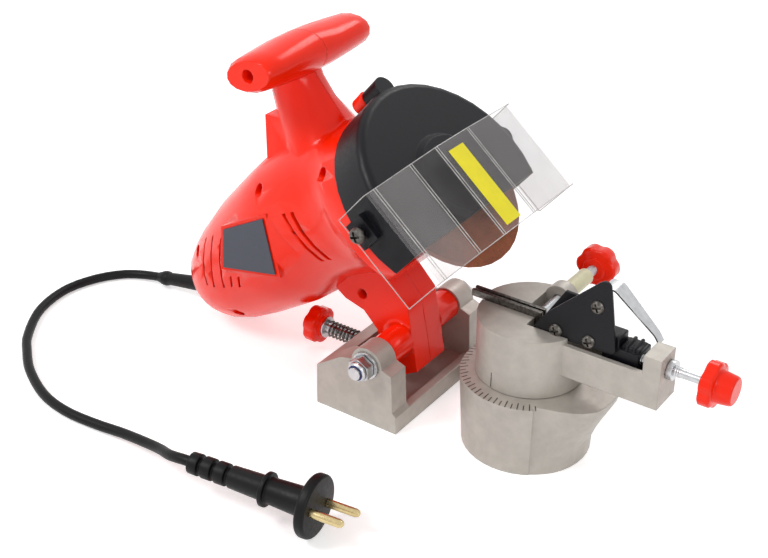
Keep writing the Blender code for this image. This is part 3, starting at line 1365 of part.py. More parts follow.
def build_hinge_bolt():
    """The bolt that the head rocks on, its washer, its nut and the nut's nylon ring."""
    axis_z = HINGE_HEIGHT
    far_face = BASE_HALF_WIDTH + FIT
    washer_y = -far_face
    nut_y = washer_y - HINGE_WASHER_THICKNESS - FIT
    ring_y = nut_y - HINGE_NUT_LENGTH - FIT
    end_y = ring_y - NUT_RING_LENGTH - BOLT_END_LENGTH
    shank = rod((0, end_y, axis_z), (0, far_face + FIT, axis_z), HINGE_BOLT_RADIUS, sides=SMALL_SIDES)
    head = rod(
        (0, far_face, axis_z), (0, far_face + HINGE_BOLT_HEAD_LENGTH, axis_z), HINGE_BOLT_HEAD_RADIUS,
        sides=HEX_SIDES,
    )
    finished(joined(shank, head), "hinge_bolt", "zinc")
    bore = HINGE_BOLT_RADIUS + FIT
    washer = ring((0, washer_y, axis_z), (0, -1, 0), HINGE_WASHER_THICKNESS, HINGE_WASHER_RADIUS, bore)
    finished(washer, "hinge_washer", "zinc")
    nut = rod((0, nut_y, axis_z), (0, nut_y - HINGE_NUT_LENGTH, axis_z), HINGE_NUT_RADIUS, sides=HEX_SIDES)
    hole = rod((0, nut_y + OVERRUN, axis_z), (0, ring_y - OVERRUN, axis_z), bore, sides=SMALL_SIDES)
    finished(cut(nut, hole), "hinge_lock_nut", "zinc")
    nylon = ring((0, ring_y, axis_z), (0, -1, 0), NUT_RING_LENGTH, NUT_RING_RADIUS, bore)
    finished(nylon, "nut_ring", "blue_nylon")


def knob_with_bore(start, axis, length, radius, bore, depth):
    """A lobed knob with a blind bore in its front for its screw."""
    start = Vector(start)
    axis = Vector(axis)
    return cut(
        knob(start, axis, length, radius),
        rod(start - axis * OVERRUN, start + axis * depth, bore, sides=SMALL_SIDES),
    )


def build_depth_stop():
    """The stop screw through the rear wall, its knob and washer."""
    slide_at = (DEPTH_KNOB_FRONT_X, 0, DEPTH_SCREW_Z)
    slide = carrier("depth_slide", slide_at, slide_at)
    turn = carrier("depth_turn", (0, 0, 0), slide_at, slide)
    washer_x = DEPTH_KNOB_FRONT_X + FIT
    washer = ring(
        (washer_x, 0, DEPTH_SCREW_Z), ALONG, DEPTH_WASHER_THICKNESS, DEPTH_WASHER_RADIUS,
        DEPTH_SCREW_RADIUS + FIT, SMALL_SIDES,
    )
    finished(washer, "depth_washer", "zinc", slide)
    depth = DEPTH_KNOB_LENGTH * KNOB_BORE_SHARE
    screw = rod(
        (DEPTH_SCREW_TIP_X, 0, DEPTH_SCREW_Z), (DEPTH_KNOB_FRONT_X - depth + FIT, 0, DEPTH_SCREW_Z),
        DEPTH_SCREW_RADIUS, sides=SMALL_SIDES,
    )
    finished(screw, "depth_screw", "zinc", turn)
    hand = knob_with_bore(
        (DEPTH_KNOB_FRONT_X, 0, DEPTH_SCREW_Z), (-1, 0, 0), DEPTH_KNOB_LENGTH, DEPTH_KNOB_RADIUS,
        DEPTH_SCREW_RADIUS + FIT, depth,
    )
    finished(hand, "depth_knob", "red_abs", turn)


def build_depth_spring():
    """The spring between the washer and the rear wall, one unbroken helical wire."""
    start = DEPTH_KNOB_FRONT_X + 2 * FIT + DEPTH_WASHER_THICKNESS
    end = BASE_REAR_X - FIT
    straight = 2 * SPRING_WIRE_RADIUS
    count = SPRING_CURLS * SPRING_POINTS_PER_CURL
    coil = end - start - 2 * straight
    points = [Vector((start, 0, DEPTH_SCREW_Z + SPRING_RADIUS))]
    for i in range(count + 1):
        angle = math.tau * i / SPRING_POINTS_PER_CURL
        x = start + straight + coil * i / count
        points.append(
            Vector((x, SPRING_RADIUS * math.sin(angle), DEPTH_SCREW_Z + SPRING_RADIUS * math.cos(angle)))
        )
    points.append(Vector((end, 0, DEPTH_SCREW_Z + SPRING_RADIUS)))
    gaps = []
    half_curl = SPRING_POINTS_PER_CURL // 2
    for i, here in enumerate(points):
        gaps.extend((there - here).length for there in points[i + half_curl:])
    least = min(gaps) - 2 * SPRING_WIRE_RADIUS
    print("depth_spring: least gap to itself", round(least / FINE) * FINE, "m")
    finished(tube(points, SPRING_WIRE_RADIUS, 1), "depth_spring", "dark_steel")


def build_turntable():
    """The vise's swivelling top with its arm, slot and screw boss."""
    at = (VISE_X, VISE_Y, TURNTABLE_BOTTOM_Z)
    holder = carrier("vise_swivel", at, at)
    body = rod(at, (VISE_X, VISE_Y, TURNTABLE_REAR_Z), TURNTABLE_RADIUS, sides=DRUM_SIDES)
    far_y = SLOT_NEAR_Y + SLOT_WIDTH
    arm_far_y = ARM_NEAR_Y + ARM_WIDTH
    left_x = VISE_X - TURNTABLE_RADIUS - OVERRUN
    post_x = ARM_END_X - POST_THICKNESS
    body = cut(
        body,
        block((left_x, -FAR_AWAY, TURNTABLE_NEAR_Z), (FAR_AWAY, SLOT_NEAR_Y + FIT, FAR_AWAY)),
        block((TURNTABLE_CUT_X, SLOT_NEAR_Y, TURNTABLE_CUT_Z), (FAR_AWAY, FAR_AWAY, FAR_AWAY)),
    )
    boss_far_y = CLAMP_BOSS_NEAR_Y + CLAMP_BOSS_THICKNESS
    body = joined(
        body,
        block((VISE_X, ARM_NEAR_Y, ARM_BOTTOM_Z), (ARM_END_X, arm_far_y, ARM_TOP_Z)),
        block((post_x, ARM_NEAR_Y, ARM_BOTTOM_Z), (ARM_END_X, POST_FAR_Y, POST_TOP_Z)),
        rod((CLAMP_X, CLAMP_BOSS_NEAR_Y, CLAMP_Z), (CLAMP_X, boss_far_y, CLAMP_Z), CLAMP_BOSS_RADIUS),
        block(
            (CLAMP_X - CLAMP_BOSS_RADIUS, CLAMP_BOSS_NEAR_Y, ARM_BOTTOM_Z),
            (CLAMP_X + CLAMP_BOSS_RADIUS, boss_far_y, CLAMP_Z),
        ),
    )
    rail_right = RAIL_LEFT_X + RAIL_LENGTH
    body = cut(
        body,
        block((left_x, SLOT_NEAR_Y, RAIL_BOTTOM_Z - FIT), (rail_right + FIT, far_y, FAR_AWAY)),
        block(
            (CHANNEL_START_X, ARM_NEAR_Y + ARM_WALL, ARM_BOTTOM_Z + ARM_FLOOR),
            (post_x, arm_far_y - ARM_WALL, FAR_AWAY),
        ),
        rod(
            (CLAMP_X, SLOT_NEAR_Y, CLAMP_Z), (CLAMP_X, FAR_AWAY, CLAMP_Z), CLAMP_SCREW_RADIUS + FIT,
            sides=SMALL_SIDES,
        ),
        rod(
            (post_x - OVERRUN, ADJUST_Y, ADJUST_Z), (FAR_AWAY, ADJUST_Y, ADJUST_Z),
            ADJUST_SCREW_RADIUS + FIT, sides=SMALL_SIDES,
        ),
        rod(
            (VISE_X, VISE_Y, 0), (VISE_X, VISE_Y, TURNTABLE_BOTTOM_Z + SWIVEL_BOLT_ENGAGEMENT),
            SWIVEL_BOLT_RADIUS + FIT, sides=SMALL_SIDES,
        ),
    )
    finished(body, "turntable", "cast_metal", holder)
    return holder


def build_swivel_bolt():
    """The bolt up through the drum into the turntable."""
    head_top = DRUM_HOLLOW_HEIGHT - FIT
    top = TURNTABLE_BOTTOM_Z + SWIVEL_BOLT_ENGAGEMENT - FIT
    shank = rod(
        (VISE_X, VISE_Y, head_top - FIT), (VISE_X, VISE_Y, top), SWIVEL_BOLT_RADIUS, sides=SMALL_SIDES
    )
    head = rod(
        (VISE_X, VISE_Y, head_top - SWIVEL_HEAD_LENGTH), (VISE_X, VISE_Y, head_top), SWIVEL_HEAD_RADIUS,
        sides=HEX_SIDES,
    )
    finished(joined(shank, head), "swivel_bolt", "zinc")


def build_rails(turntable):
    """The two chain rails: one fixed in the slot, one pushed by the clamp screw."""
    near_y = SLOT_NEAR_Y + FIT
    moving_y = near_y + RAIL_THICKNESS + RAIL_GAP
    moving_far_y = moving_y + RAIL_THICKNESS
    right = RAIL_LEFT_X + RAIL_LENGTH
    fixed = block((RAIL_LEFT_X, near_y, RAIL_BOTTOM_Z), (right, near_y + RAIL_THICKNESS, RAIL_TOP_Z))
    finished(softened(fixed, FIT), "rail_fixed", "dark_steel", turntable)
    at = (CLAMP_X, moving_far_y, CLAMP_Z)
    home = Vector(at) - Vector(turntable["drawn_at"])
    slide = carrier("jaw_slide", home, at, turntable)
    turn = carrier("clamp_turn", (0, 0, 0), at, slide)
    moving = block((RAIL_LEFT_X, moving_y, RAIL_BOTTOM_Z), (right, moving_far_y, RAIL_TOP_Z))
    finished(softened(moving, FIT), "rail_moving", "dark_steel", slide)
    return turn, moving_far_y


def build_clamp(turn, start_y):
    """The clamp screw, its sleeve and its knob."""
    knob_y = CLAMP_SLEEVE_START_Y + CLAMP_SLEEVE_LENGTH + CLAMP_KNOB_GAP
    depth = CLAMP_KNOB_LENGTH * KNOB_BORE_SHARE
    screw = rod(
        (CLAMP_X, start_y + FIT, CLAMP_Z), (CLAMP_X, knob_y + depth - FIT, CLAMP_Z), CLAMP_SCREW_RADIUS,
        sides=SMALL_SIDES,
    )
    finished(screw, "clamp_screw", "zinc", turn)
    sleeve = ring(
        (CLAMP_X, CLAMP_SLEEVE_START_Y, CLAMP_Z), ACROSS, CLAMP_SLEEVE_LENGTH, CLAMP_SLEEVE_RADIUS,
        CLAMP_SCREW_RADIUS + FIT,
    )
    finished(sleeve, "clamp_sleeve", "cream_sleeve", turn)
    hand = knob_with_bore(
        (CLAMP_X, knob_y, CLAMP_Z), ACROSS, CLAMP_KNOB_LENGTH, CLAMP_KNOB_RADIUS, CLAMP_SCREW_RADIUS + FIT,
        depth,
    )
    finished(hand, "clamp_knob", "red_abs", turn)


def stop_outline(shares):
    """A side view of the chain stop, from its tip."""
    return [(STOP_TIP[0] + x * STOP_HEIGHT, STOP_TIP[1] + z * STOP_HEIGHT) for x, z in shares]


def build_stop(turntable):
    """The slider on the arm, the chain stop hinged on it and the strap behind."""
    at = (STOP_PIVOT[0], SLIDER_NEAR_Y, STOP_PIVOT[1])
    home = Vector(at) - Vector(turntable["drawn_at"])
    slide = carrier("stop_slide", home, at, turntable)
    flip = carrier("stop_flip", (0, 0, 0), at, slide)
    end_x = SLIDER_START_X + SLIDER_LENGTH
    far_y = SLIDER_NEAR_Y + SLIDER_WIDTH
    half_tongue = SLIDER_TONGUE_WIDTH / 2
    top_z = ARM_TOP_Z + FIT
    slider = joined(
        block((SLIDER_START_X, SLIDER_NEAR_Y, top_z), (end_x, far_y, SLIDER_TOP_Z)),
        block(
            (SLIDER_START_X, ADJUST_Y - half_tongue, ARM_BOTTOM_Z + ARM_FLOOR + FIT),
            (end_x, ADJUST_Y + half_tongue, top_z + FIT),
        ),
    )
    plate_far_y = SLIDER_NEAR_Y - FIT
    plate_near_y = plate_far_y - STOP_PLATE_THICKNESS
    x, z = STOP_PIVOT
    slider = cut(
        slider,
        rod(
            (0, ADJUST_Y, ADJUST_Z), (FAR_AWAY, ADJUST_Y, ADJUST_Z), ADJUST_SCREW_RADIUS + FIT,
            sides=SMALL_SIDES,
        ),
        rod(
            (x, -FAR_AWAY, z), (x, SLIDER_NEAR_Y + STOP_SCREW_DEPTH + FIT, z), STOP_SCREW_RADIUS + FIT,
            sides=SMALL_SIDES,
        ),
    )
    finished(slider, "stop_slider", "black_plastic", slide)
    head_y = plate_near_y - FIT
    length = SLIDER_NEAR_Y + STOP_SCREW_DEPTH - head_y
    profile = (
        (0, 0), (0, STOP_SCREW_RADIUS), (length, STOP_SCREW_RADIUS), (length, STOP_SCREW_HEAD_RADIUS),
        (length + STOP_SCREW_HEAD_LENGTH, STOP_SCREW_HEAD_RADIUS), (length + STOP_SCREW_HEAD_LENGTH, 0),
    )
    finished(
        turned(profile, (x, head_y + length, z), (0, -1, 0), SMALL_SIDES), "stop_screw", "dark_steel", slide
    )
    stop = joined(
        side_plate(stop_outline(STOP_NEAR_SHARES), plate_near_y, plate_far_y),
        side_plate(stop_outline(STOP_WEB_SHARES), plate_far_y - FIT, plate_far_y + STOP_DEPTH),
        side_plate(
            stop_outline(STOP_FAR_SHARES), plate_far_y + STOP_DEPTH - STOP_PLATE_THICKNESS,
            plate_far_y + STOP_DEPTH,
        ),
    )
    stop = cut(stop, rod((x, -FAR_AWAY, z), (x, FAR_AWAY, z), STOP_SCREW_RADIUS + FIT, sides=SMALL_SIDES))
    finished(stop, "chain_stop", "black_plastic", flip)
    strap_near = far_y + FIT
    path = [Vector((STOP_TIP[0] + u * STOP_HEIGHT, STOP_TIP[1] + v * STOP_HEIGHT)) for u, v in STRAP_SHARES]
    first = (path[1] - path[0]).normalized()
    second = (path[2] - path[1]).normalized()
    lift = STRAP_THICKNESS
    upper = [
        point + lift * Vector((-d.y, d.x))
        for point, d in zip(path, (first, (first + second).normalized(), second))
    ]
    strap = side_plate([tuple(point) for point in path + upper[::-1]], strap_near, strap_near + STRAP_WIDTH)
    finished(strap, "stop_strap", "zinc", slide)


def build_adjuster(turntable):
    """The screw that moves the slider, held endwise at the post, and its knob."""
    at = (ADJUST_KNOB_START_X, ADJUST_Y, ADJUST_Z)
    home = Vector(at) - Vector(turntable["drawn_at"])
    turn = carrier("adjust_turn", home, at, turntable)
    depth = ADJUST_KNOB_LENGTH * KNOB_BORE_SHARE
    screw = rod(
        (ADJUST_SCREW_START_X, ADJUST_Y, ADJUST_Z),
        (ADJUST_KNOB_START_X + depth - FIT, ADJUST_Y, ADJUST_Z), ADJUST_SCREW_RADIUS, sides=SMALL_SIDES,
    )
    collar_x = ARM_END_X + FIT
    collar = rod(
        (collar_x, ADJUST_Y, ADJUST_Z), (collar_x + ADJUST_COLLAR_LENGTH, ADJUST_Y, ADJUST_Z),
        ADJUST_COLLAR_RADIUS, sides=HEX_SIDES,
    )
    finished(joined(screw, collar), "adjust_screw", "zinc", turn)
    hand = knob(at, ALONG, ADJUST_KNOB_LENGTH, ADJUST_KNOB_RADIUS)
    hub_x = ADJUST_KNOB_START_X + ADJUST_KNOB_LENGTH
    hand = joined(
        hand,
        rod(
            (hub_x - FIT, ADJUST_Y, ADJUST_Z), (hub_x + ADJUST_HUB_LENGTH, ADJUST_Y, ADJUST_Z),
            ADJUST_HUB_RADIUS,
        ),
    )
    bore = rod(
        (ADJUST_KNOB_START_X - OVERRUN, ADJUST_Y, ADJUST_Z),
        (ADJUST_KNOB_START_X + depth, ADJUST_Y, ADJUST_Z), ADJUST_SCREW_RADIUS + FIT, sides=SMALL_SIDES,
    )
    finished(cut(hand, bore), "adjust_knob", "red_abs", turn)


def to_world():
    """The place of the head's frame in the world, as the head rests."""
    return Matrix.Translation((0, 0, HINGE_HEIGHT)) @ Matrix.Rotation(-HEAD_LEAN, 4, "Y")


def build_sleeve():
    """The smooth tapering sleeve, with a bead at its tip, that the cord leaves the tail through."""
    entry, back = sleeve_entry()
    free = SLEEVE_LENGTH - SLEEVE_ANCHOR_LENGTH
    profile = [(0, 0), (0, SLEEVE_RADIUS)]
    for along_share, radius_share in SLEEVE_ROW_SHARES:
        profile.append((SLEEVE_ANCHOR_LENGTH + along_share * free, radius_share * SLEEVE_RADIUS))
    profile.append((SLEEVE_LENGTH, 0))
    sleeve = turned(profile, entry, back, SMALL_SIDES)
    finished(sleeve, "cord_sleeve", "rubber", HEAD)


def plug_frame():
    """The plug's tail, axis and flange face."""
    axis = Vector(PLUG_AXIS).normalized()
    front = Vector(PLUG_CENTRE) + axis * PLUG_FLANGE_THICKNESS / 2
    return front - axis * PLUG_LENGTH, axis, front


def build_cord():
    """The cord along the bench, from its sleeve to the plug's tail."""
    entry, back = sleeve_entry()
    exit_point = to_world() @ (entry + back * SLEEVE_LENGTH)
    leaving = to_world().to_3x3() @ back
    tail, axis, _ = plug_frame()
    straight = 2 * CORD_RADIUS
    places = [exit_point + leaving * straight, *CORD_ROUTE, tail - axis * straight]
    points = [exit_point + leaving * FIT, *smooth_route(places, CORD_STEP), tail - axis * FIT]
    finished(tube(points, CORD_RADIUS, CORD_RESOLUTION), "cord", "rubber")


def build_plug():
    """The moulded plug with its ribbed relief, collar, grip and round flange, and two pins."""
    tail, axis, front = plug_frame()
    profile = [(0, 0)]
    pitch = PLUG_RIBS_LENGTH / PLUG_RIB_COUNT
    for i in range(PLUG_RIB_COUNT):
        start = i * pitch
        rib = pitch * PLUG_RIB_SHARE
        profile += [
            (start, PLUG_RIB_RADIUS), (start + rib, PLUG_RIB_RADIUS), (start + rib, PLUG_GROOVE_RADIUS),
            (start + pitch, PLUG_GROOVE_RADIUS),
        ]
    flange_back = PLUG_LENGTH - PLUG_FLANGE_THICKNESS
    neck = PLUG_RIB_RADIUS
    profile += [
        (PLUG_RIBS_LENGTH, neck), (PLUG_COLLAR_PLACE, neck), (PLUG_COLLAR_PLACE, PLUG_COLLAR_RADIUS),
        (PLUG_COLLAR_PLACE + PLUG_COLLAR_LENGTH, PLUG_COLLAR_RADIUS),
        (PLUG_COLLAR_PLACE + PLUG_COLLAR_LENGTH, neck + WALL / 2),
        (flange_back, PLUG_GRIP_RADIUS), (flange_back, PLUG_FLANGE_RADIUS),
        (PLUG_LENGTH, PLUG_FLANGE_RADIUS), (PLUG_LENGTH, 0),
    ]
    finished(turned(profile, tail, axis, SMALL_SIDES), "plug_body", "rubber")
    level = Vector((-axis.y, axis.x, 0)).normalized()
    lean = math.radians(PIN_LEAN_DEG)
    spread = level * math.cos(lean) + axis.cross(level) * math.sin(lean)
    for name, side in (("plug_pin_near", -1), ("plug_pin_far", 1)):
        root = front + spread * side * PIN_SPACING / 2
        pin_profile = (
            (0, 0), (0, PIN_RADIUS), (PIN_LENGTH - PIN_RADIUS / 2, PIN_RADIUS),
            (PIN_LENGTH, PIN_RADIUS / 2), (PIN_LENGTH, 0),
        )
        finished(turned(pin_profile, root + axis * FIT, axis, SMALL_SIDES), name, "brass")


def build_all():
    """Every piece of the sharpener."""
    build_housing()
    build_housing_screws()
    build_label()
    build_motor()
    build_fan()
    build_bracket_and_plate()
    build_belt_drive()
    build_spindle()
    build_guard()
    build_visor()
    build_switch()
    build_base()
    build_hinge_bolt()
    build_depth_stop()
    build_depth_spring()
    turntable = build_turntable()
    build_swivel_bolt()
    turn, jaw_y = build_rails(turntable)
    build_clamp(turn, jaw_y)
    build_stop(turntable)
    build_adjuster(turntable)
    build_sleeve()
    build_cord()
    build_plug()


build_all()
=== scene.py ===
"""Looks of an electric chainsaw sharpener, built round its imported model.

The frame holds every moving body in metres, +Z up, with the origin on the bench
under the hinge. The operators below dress its nodes, add the small pieces that
only show in the finish, and set the stage.
"""
import json
import math

import bmesh
import bpy
from mathutils import Matrix, Vector


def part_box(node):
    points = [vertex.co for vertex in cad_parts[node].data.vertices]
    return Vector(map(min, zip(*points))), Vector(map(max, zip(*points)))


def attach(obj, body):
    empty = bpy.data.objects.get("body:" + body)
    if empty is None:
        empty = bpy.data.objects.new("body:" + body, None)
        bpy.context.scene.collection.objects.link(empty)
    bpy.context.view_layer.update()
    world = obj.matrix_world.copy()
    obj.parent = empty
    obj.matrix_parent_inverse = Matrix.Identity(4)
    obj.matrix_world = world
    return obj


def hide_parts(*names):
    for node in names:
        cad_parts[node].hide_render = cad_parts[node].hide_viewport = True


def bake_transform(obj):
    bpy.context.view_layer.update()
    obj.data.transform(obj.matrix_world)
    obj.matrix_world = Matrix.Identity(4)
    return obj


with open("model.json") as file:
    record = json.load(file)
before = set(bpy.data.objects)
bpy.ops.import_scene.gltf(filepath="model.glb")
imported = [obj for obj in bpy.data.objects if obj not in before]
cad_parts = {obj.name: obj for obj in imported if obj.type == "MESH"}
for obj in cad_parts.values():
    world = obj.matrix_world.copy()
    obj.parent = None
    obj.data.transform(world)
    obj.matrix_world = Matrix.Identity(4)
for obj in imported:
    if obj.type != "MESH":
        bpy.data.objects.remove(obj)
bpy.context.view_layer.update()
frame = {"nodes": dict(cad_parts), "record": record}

bl_info = {
    "name": "Chainsaw Sharpener Looks",
    "version": (1, 0, 0),
    "blender": (4, 5, 0),
    "location": "View3D > Sidebar > Sharpener",
    "description": "Finishes, fasteners, cord and stage of a bench chainsaw sharpener",
    "category": "Object",
}

MM = 0.001
MERGE = 0.005 * MM
CLEAR = 1.0 * MM
FLAT_DEG = 0.5
SHARP_DEG = 32
SMALL_STEPS = 2
FULL_STEPS = 3
TURN_STEPS = 48
THREAD_SIDES = 24
THREAD_ROWS = 4
THREAD_DEPTH = 0.3
KNOB_SIDES = 96
BAR_SIDES = 8
ROUTE_SAMPLES = 12
CORD_RESOLUTION = 6

# Where a cloudy pattern starts and ends its run, a soft edge's samples, and the colour sockets of a Mix node
CLOUD_ENDS = (0.3, 0.7)
EDGE_SAMPLES = 6
MIX_FIRST = 6
MIX_SECOND = 7
MIX_RESULT = 2

# How far the edges of each dressed node are rounded, in millimetres
EDGE_MM = {
    "label_plate": 0.25, "disc_guard": 0.8, "grinding_disc": 0.2, "disc_flange_outer": 0.3,
    "spindle_nut": 0.3, "switch_body": 0.5, "switch_rocker": 0.4, "base_casting": 0.7, "hinge_bolt": 0.25,
    "hinge_washer": 0.25, "hinge_lock_nut": 0.25, "swivel_bolt": 0.25, "depth_washer": 0.2,
    "turntable": 0.6, "rail_fixed": 0.25, "rail_moving": 0.25, "clamp_sleeve": 0.4, "chain_stop": 0.35,
}


def in_mm(*rows):
    """Rows of millimetres as rows of metres."""
    return tuple(tuple(value * MM for value in row) for row in rows)


# The head's frame, as the part's source has it
HINGE_HEIGHT = 40.3 * MM
HEAD_LEAN_DEG = 49.4

# The stage
CAMERA_PLACE = (0.38475, -0.57317, 0.47418)
CAMERA_TURN_DEG = (59.862, 0, 35.366)
SKY_STRENGTH = 0.5
LAMP_TARGET = (-0.02, -0.02, 0.08)
LAMPS = {
    "key_lamp": ((-0.55, -0.75, 1.05), 0.45, 7.2),
    "fill_lamp": ((0.95, -0.55, 0.75), 0.50, 2.8),
    "back_lamp": ((-0.10, 0.90, 1.00), 0.50, 3.2),
}
FLOOR_HALF = 6.0
FLOOR_DROP = 0.05 * MM
FLOOR_LIFT = 0.45

# A screw head's profile as (place, reach) shares, and the turn and shares of its recess
HEAD_SHARES = ((0, 0), (0, 1), (0.30, 1), (0.72, 0.84), (0.94, 0.52), (1, 0))
CROSS_TURN_DEG = 20
RECESS_REACH = 0.66
RECESS_ARM = 0.15
RECESS_FLOOR = 0.30

# The hinge sleeve beside the leg, and the leg's front
SLEEVE_RADIUS = 9.4 * MM
SLEEVE_CUT = 14.0 * MM
SLEEVE_INNER_Y = 14.7 * MM
SLEEVE_END_Y = 35.0 * MM
LEG_FRONT_FOOT = (12.25 * MM, 0, 21.5 * MM)
LEG_FRONT_LEAN = math.atan2(7.7, 42.6)
LEG_FRONT_HEIGHT = 34.0 * MM

# The guard's ears, the shell's boss beside the near one, and the spindle's height in the head
SPINDLE_T = 49.6 * MM
GUARD_BOSS_REAR = 72.0 * MM
GUARD_BOSS_CUT = 81.5 * MM
GUARD_BOSS_REACH = 14.0 * MM
GUARD_TOP_T = 111.5 * MM
GUARD_CORE = 60.6 * MM
GUARD_DEPTH = 40.0 * MM
EAR_RADIUS = 6.5 * MM
EAR_LENGTH = 11.0 * MM
EAR_CHAMFER = 1.5 * MM
EAR_S = 85.6 * MM
EAR_Y = 58.8 * MM
EAR_T = 54.3 * MM
BOSS_RADIUS = 5.6 * MM
BOSS_S = 72.5 * MM
BOSS_LENGTH = 8.6 * MM
BOSS_CHAMFER = 1.0 * MM
BOSS_Y = 2.5 * MM
BOSS_T = 114.6 * MM

# The visor's inner face as (s, y), with its folds, the painted highlights on its bends and rims, and the
# painted reflection across it
VISOR_PATH = in_mm(
    (74, -65.8), (98.5, -65.8), (104, -32.9), (108, -12.5), (108, 18.4), (105.3, 65.8), (74, 65.8),
)
VISOR_BOTTOM = 8.0 * MM
VISOR_TOP = 67.0 * MM
VISOR_FOLD = 2.2 * MM
VISOR_FOLD_STEPS = 5
VISOR_THICKNESS = 2.0 * MM
SHEET_EDGE = 0.25 * MM
SHEET_SHARP_DEG = 60
VISOR_HEAD = 4.6 * MM
BEND_PLACES = (-61.0 * MM, -32.9 * MM, -12.5 * MM, 18.4 * MM)
BEND_HALF = 0.85 * MM
BEND_RADIUS = 0.28 * MM
FLAP_Y = 65.0 * MM
RIM_SHARE = 2.0 / 65.8
# Where each flat starts and its level of painted reflection, and a cloud that sways that level
PAINTED_REFLECTION_PLACES = (0.001, 0.25, 0.405, 0.64)
PAINTED_REFLECTION_LEVELS = (0.19, 0.05, 0.15, 0.18)
PAINTED_REFLECTION_CLOUD = 14
PAINTED_REFLECTION_SWAY = (0.92, 1.08)

# The plug: rows of (place, reach) from its tail, and its pins
PLUG_EDGE = 0.5 * MM
PLUG_TAIL = (-39.15 * MM, -153.60 * MM, 19.96 * MM)
PLUG_AXIS = (0.989, 0.147, -0.026)
PLUG_ROWS = in_mm(
    (0, 0), (0, 6), (6, 6.2), (6, 3.9), (8.4, 3.9), (8.4, 6.2), (14.4, 6.2), (14.4, 4), (16.8, 4),
    (16.8, 6.3), (23, 6.3), (23, 4.2), (25.4, 4.2), (25.4, 6.3), (46, 7), (46, 9.6), (48.5, 9.6),
    (48.5, 7.2), (72, 8.4), (72, 16.6), (73.2, 17.5), (76.8, 17.5), (78, 16.6), (78, 0),
)
PIN_LENGTH = 19.0 * MM
PIN_ROWS = in_mm((0, 0), (0, 2.4), (16.6, 2.4), (18.4, 1.7), (19, 0.8), (19, 0))

# The lock nut's end: rows of (share of the ring's length, reach in millimetres)
NYLON_ROWS = ((0, 3.9), (0, 4.7), (0.72, 4.7), (0.8, 4.4), (0.8, 3.9), (0, 3.9))
CROWN_ROWS = ((0, 4.75), (0, 6), (0.55, 5.9), (0.95, 5.2), (0.98, 4.75), (0, 4.75))

# The rails' free ends
RAIL_FREE = 8.6 * MM
RAIL_NOSE = 4.2 * MM

# Screws of the shell, the guard and the visor
WELL_HEAD = 2.9 * MM
GUARD_HEAD = WELL_HEAD + 0.6 * MM
WELL_HEAD_HEIGHT = 2.4 * MM
WELL_SHANK = 1.6 * MM
VISOR_HEAD_HEIGHT = 3.6 * MM
VISOR_SHANK = 2.1 * MM

# The plain strip on the visor: its face along s, and its corners as (y, t)
STRIP_S = 110.05 * MM
STRIP_THICKNESS = 0.15 * MM
STRIP_CORNERS = in_mm((-6.8, 11.2), (7.1, 61.5))

# The vise's scale and index
VISE_X = 81.3 * MM
VISE_Y = -5.5 * MM
TICK_COUNT = 30
TICK_START_DEG = 160
TICK_RADIUS = 38.8 * MM
TICK_PROUD = 0.15 * MM
TICK_WIDTH = 0.55 * MM
TICK_LONG = 4.6 * MM
TICK_SHORT = 3.4 * MM
TICK_Z = 44.55 * MM
TICK_LEAN = math.atan2(1.8, 8.0)
MARK_DEG = -14
MARK_RADIUS = 30.45 * MM
MARK_PROUD = 0.15 * MM
MARK_WIDTH = 0.4 * MM
MARK_Z = 47.5 * MM
MARK_HEIGHT = 9.0 * MM

# The base's wing round the drum, drawn in at its flanks: rows of (height, reach)
WING_DEG = 57.0
WING_TAPER_DEG = 48.0
WING_TAPER_STEPS = 14
WING_CORE = 36.4 * MM
WING_CLEAR = 0.6 * MM
WING_OUTSIDE = 60.0 * MM
WING_ROWS = in_mm((-1, 37), (9.9, 37.4), (19.8, 41.1), (30.2, 46), (40, 51), (45, 52), (47, 52.4))

# The chain stop: blocks as (x, x, y, y, z, z), the strap as (x, z, y),
# and the plate's corners as (x, z, rounding)
STOP_SHANK = 2.0 * MM
STOP_HEAD_HEIGHT = 2.2 * MM
STOP_SCREW_PLACES = in_mm((124.6, 106.8), (101.6, 84.5), (121.1, 84.5))
SLIDER_BLOCKS = in_mm(
    (0, 21, 0, 15, 64.3, 84.5), (0, 9, 1, 12, 80, 90.5), (9.6, 20.4, 2, 12.5, 80, 86.5),
    (12, 14, 1.2, 13.2, 80, 87.6), (16.2, 18.2, 1.2, 13.2, 80, 87.6),
)
STRAP_PATH = in_mm((116.5, 103, -4), (121, 110.5, -4), (127, 110.5, -4), (149.5, 88.5, 1), (152, 84.5, 1))
STRAP_FOLD = 1.6 * MM
STRAP_FOLD_STEPS = 4
SLIDER_EDGE = 0.8 * MM
PIN_SINK = 0.4 * MM
HEAD_SINK = 0.2 * MM
STOP_PLATE = 1.9 * MM
STOP_BEHIND = 0.5 * MM
STOP_NEAR = 1.0 * MM
PLATE_EDGE = 0.45 * MM
CORNER_STEPS = 6
STOP_CROWN_CUT = in_mm((122.5, 118.6), (131.8, 115.2), (140, 115.2), (140, 130), (122.5, 130))
STOP_CORNERS = in_mm((86.1, 79, 1), (137, 81.5, 3), (130.2, 126.5, 8), (94.2, 92.1, 6))
STRAP_FAR_Y = 6.5 * MM
STRAP_THICKNESS = 1.0 * MM
ADJUST_RADIUS = 3.0 * MM
ADJUST_ROD = 2.6 * MM
ADJUST_THREAD_LENGTH = 38.0 * MM
ADJUST_COLLAR = 3.0 * MM
ADJUST_COLLAR_X = 164.4 * MM

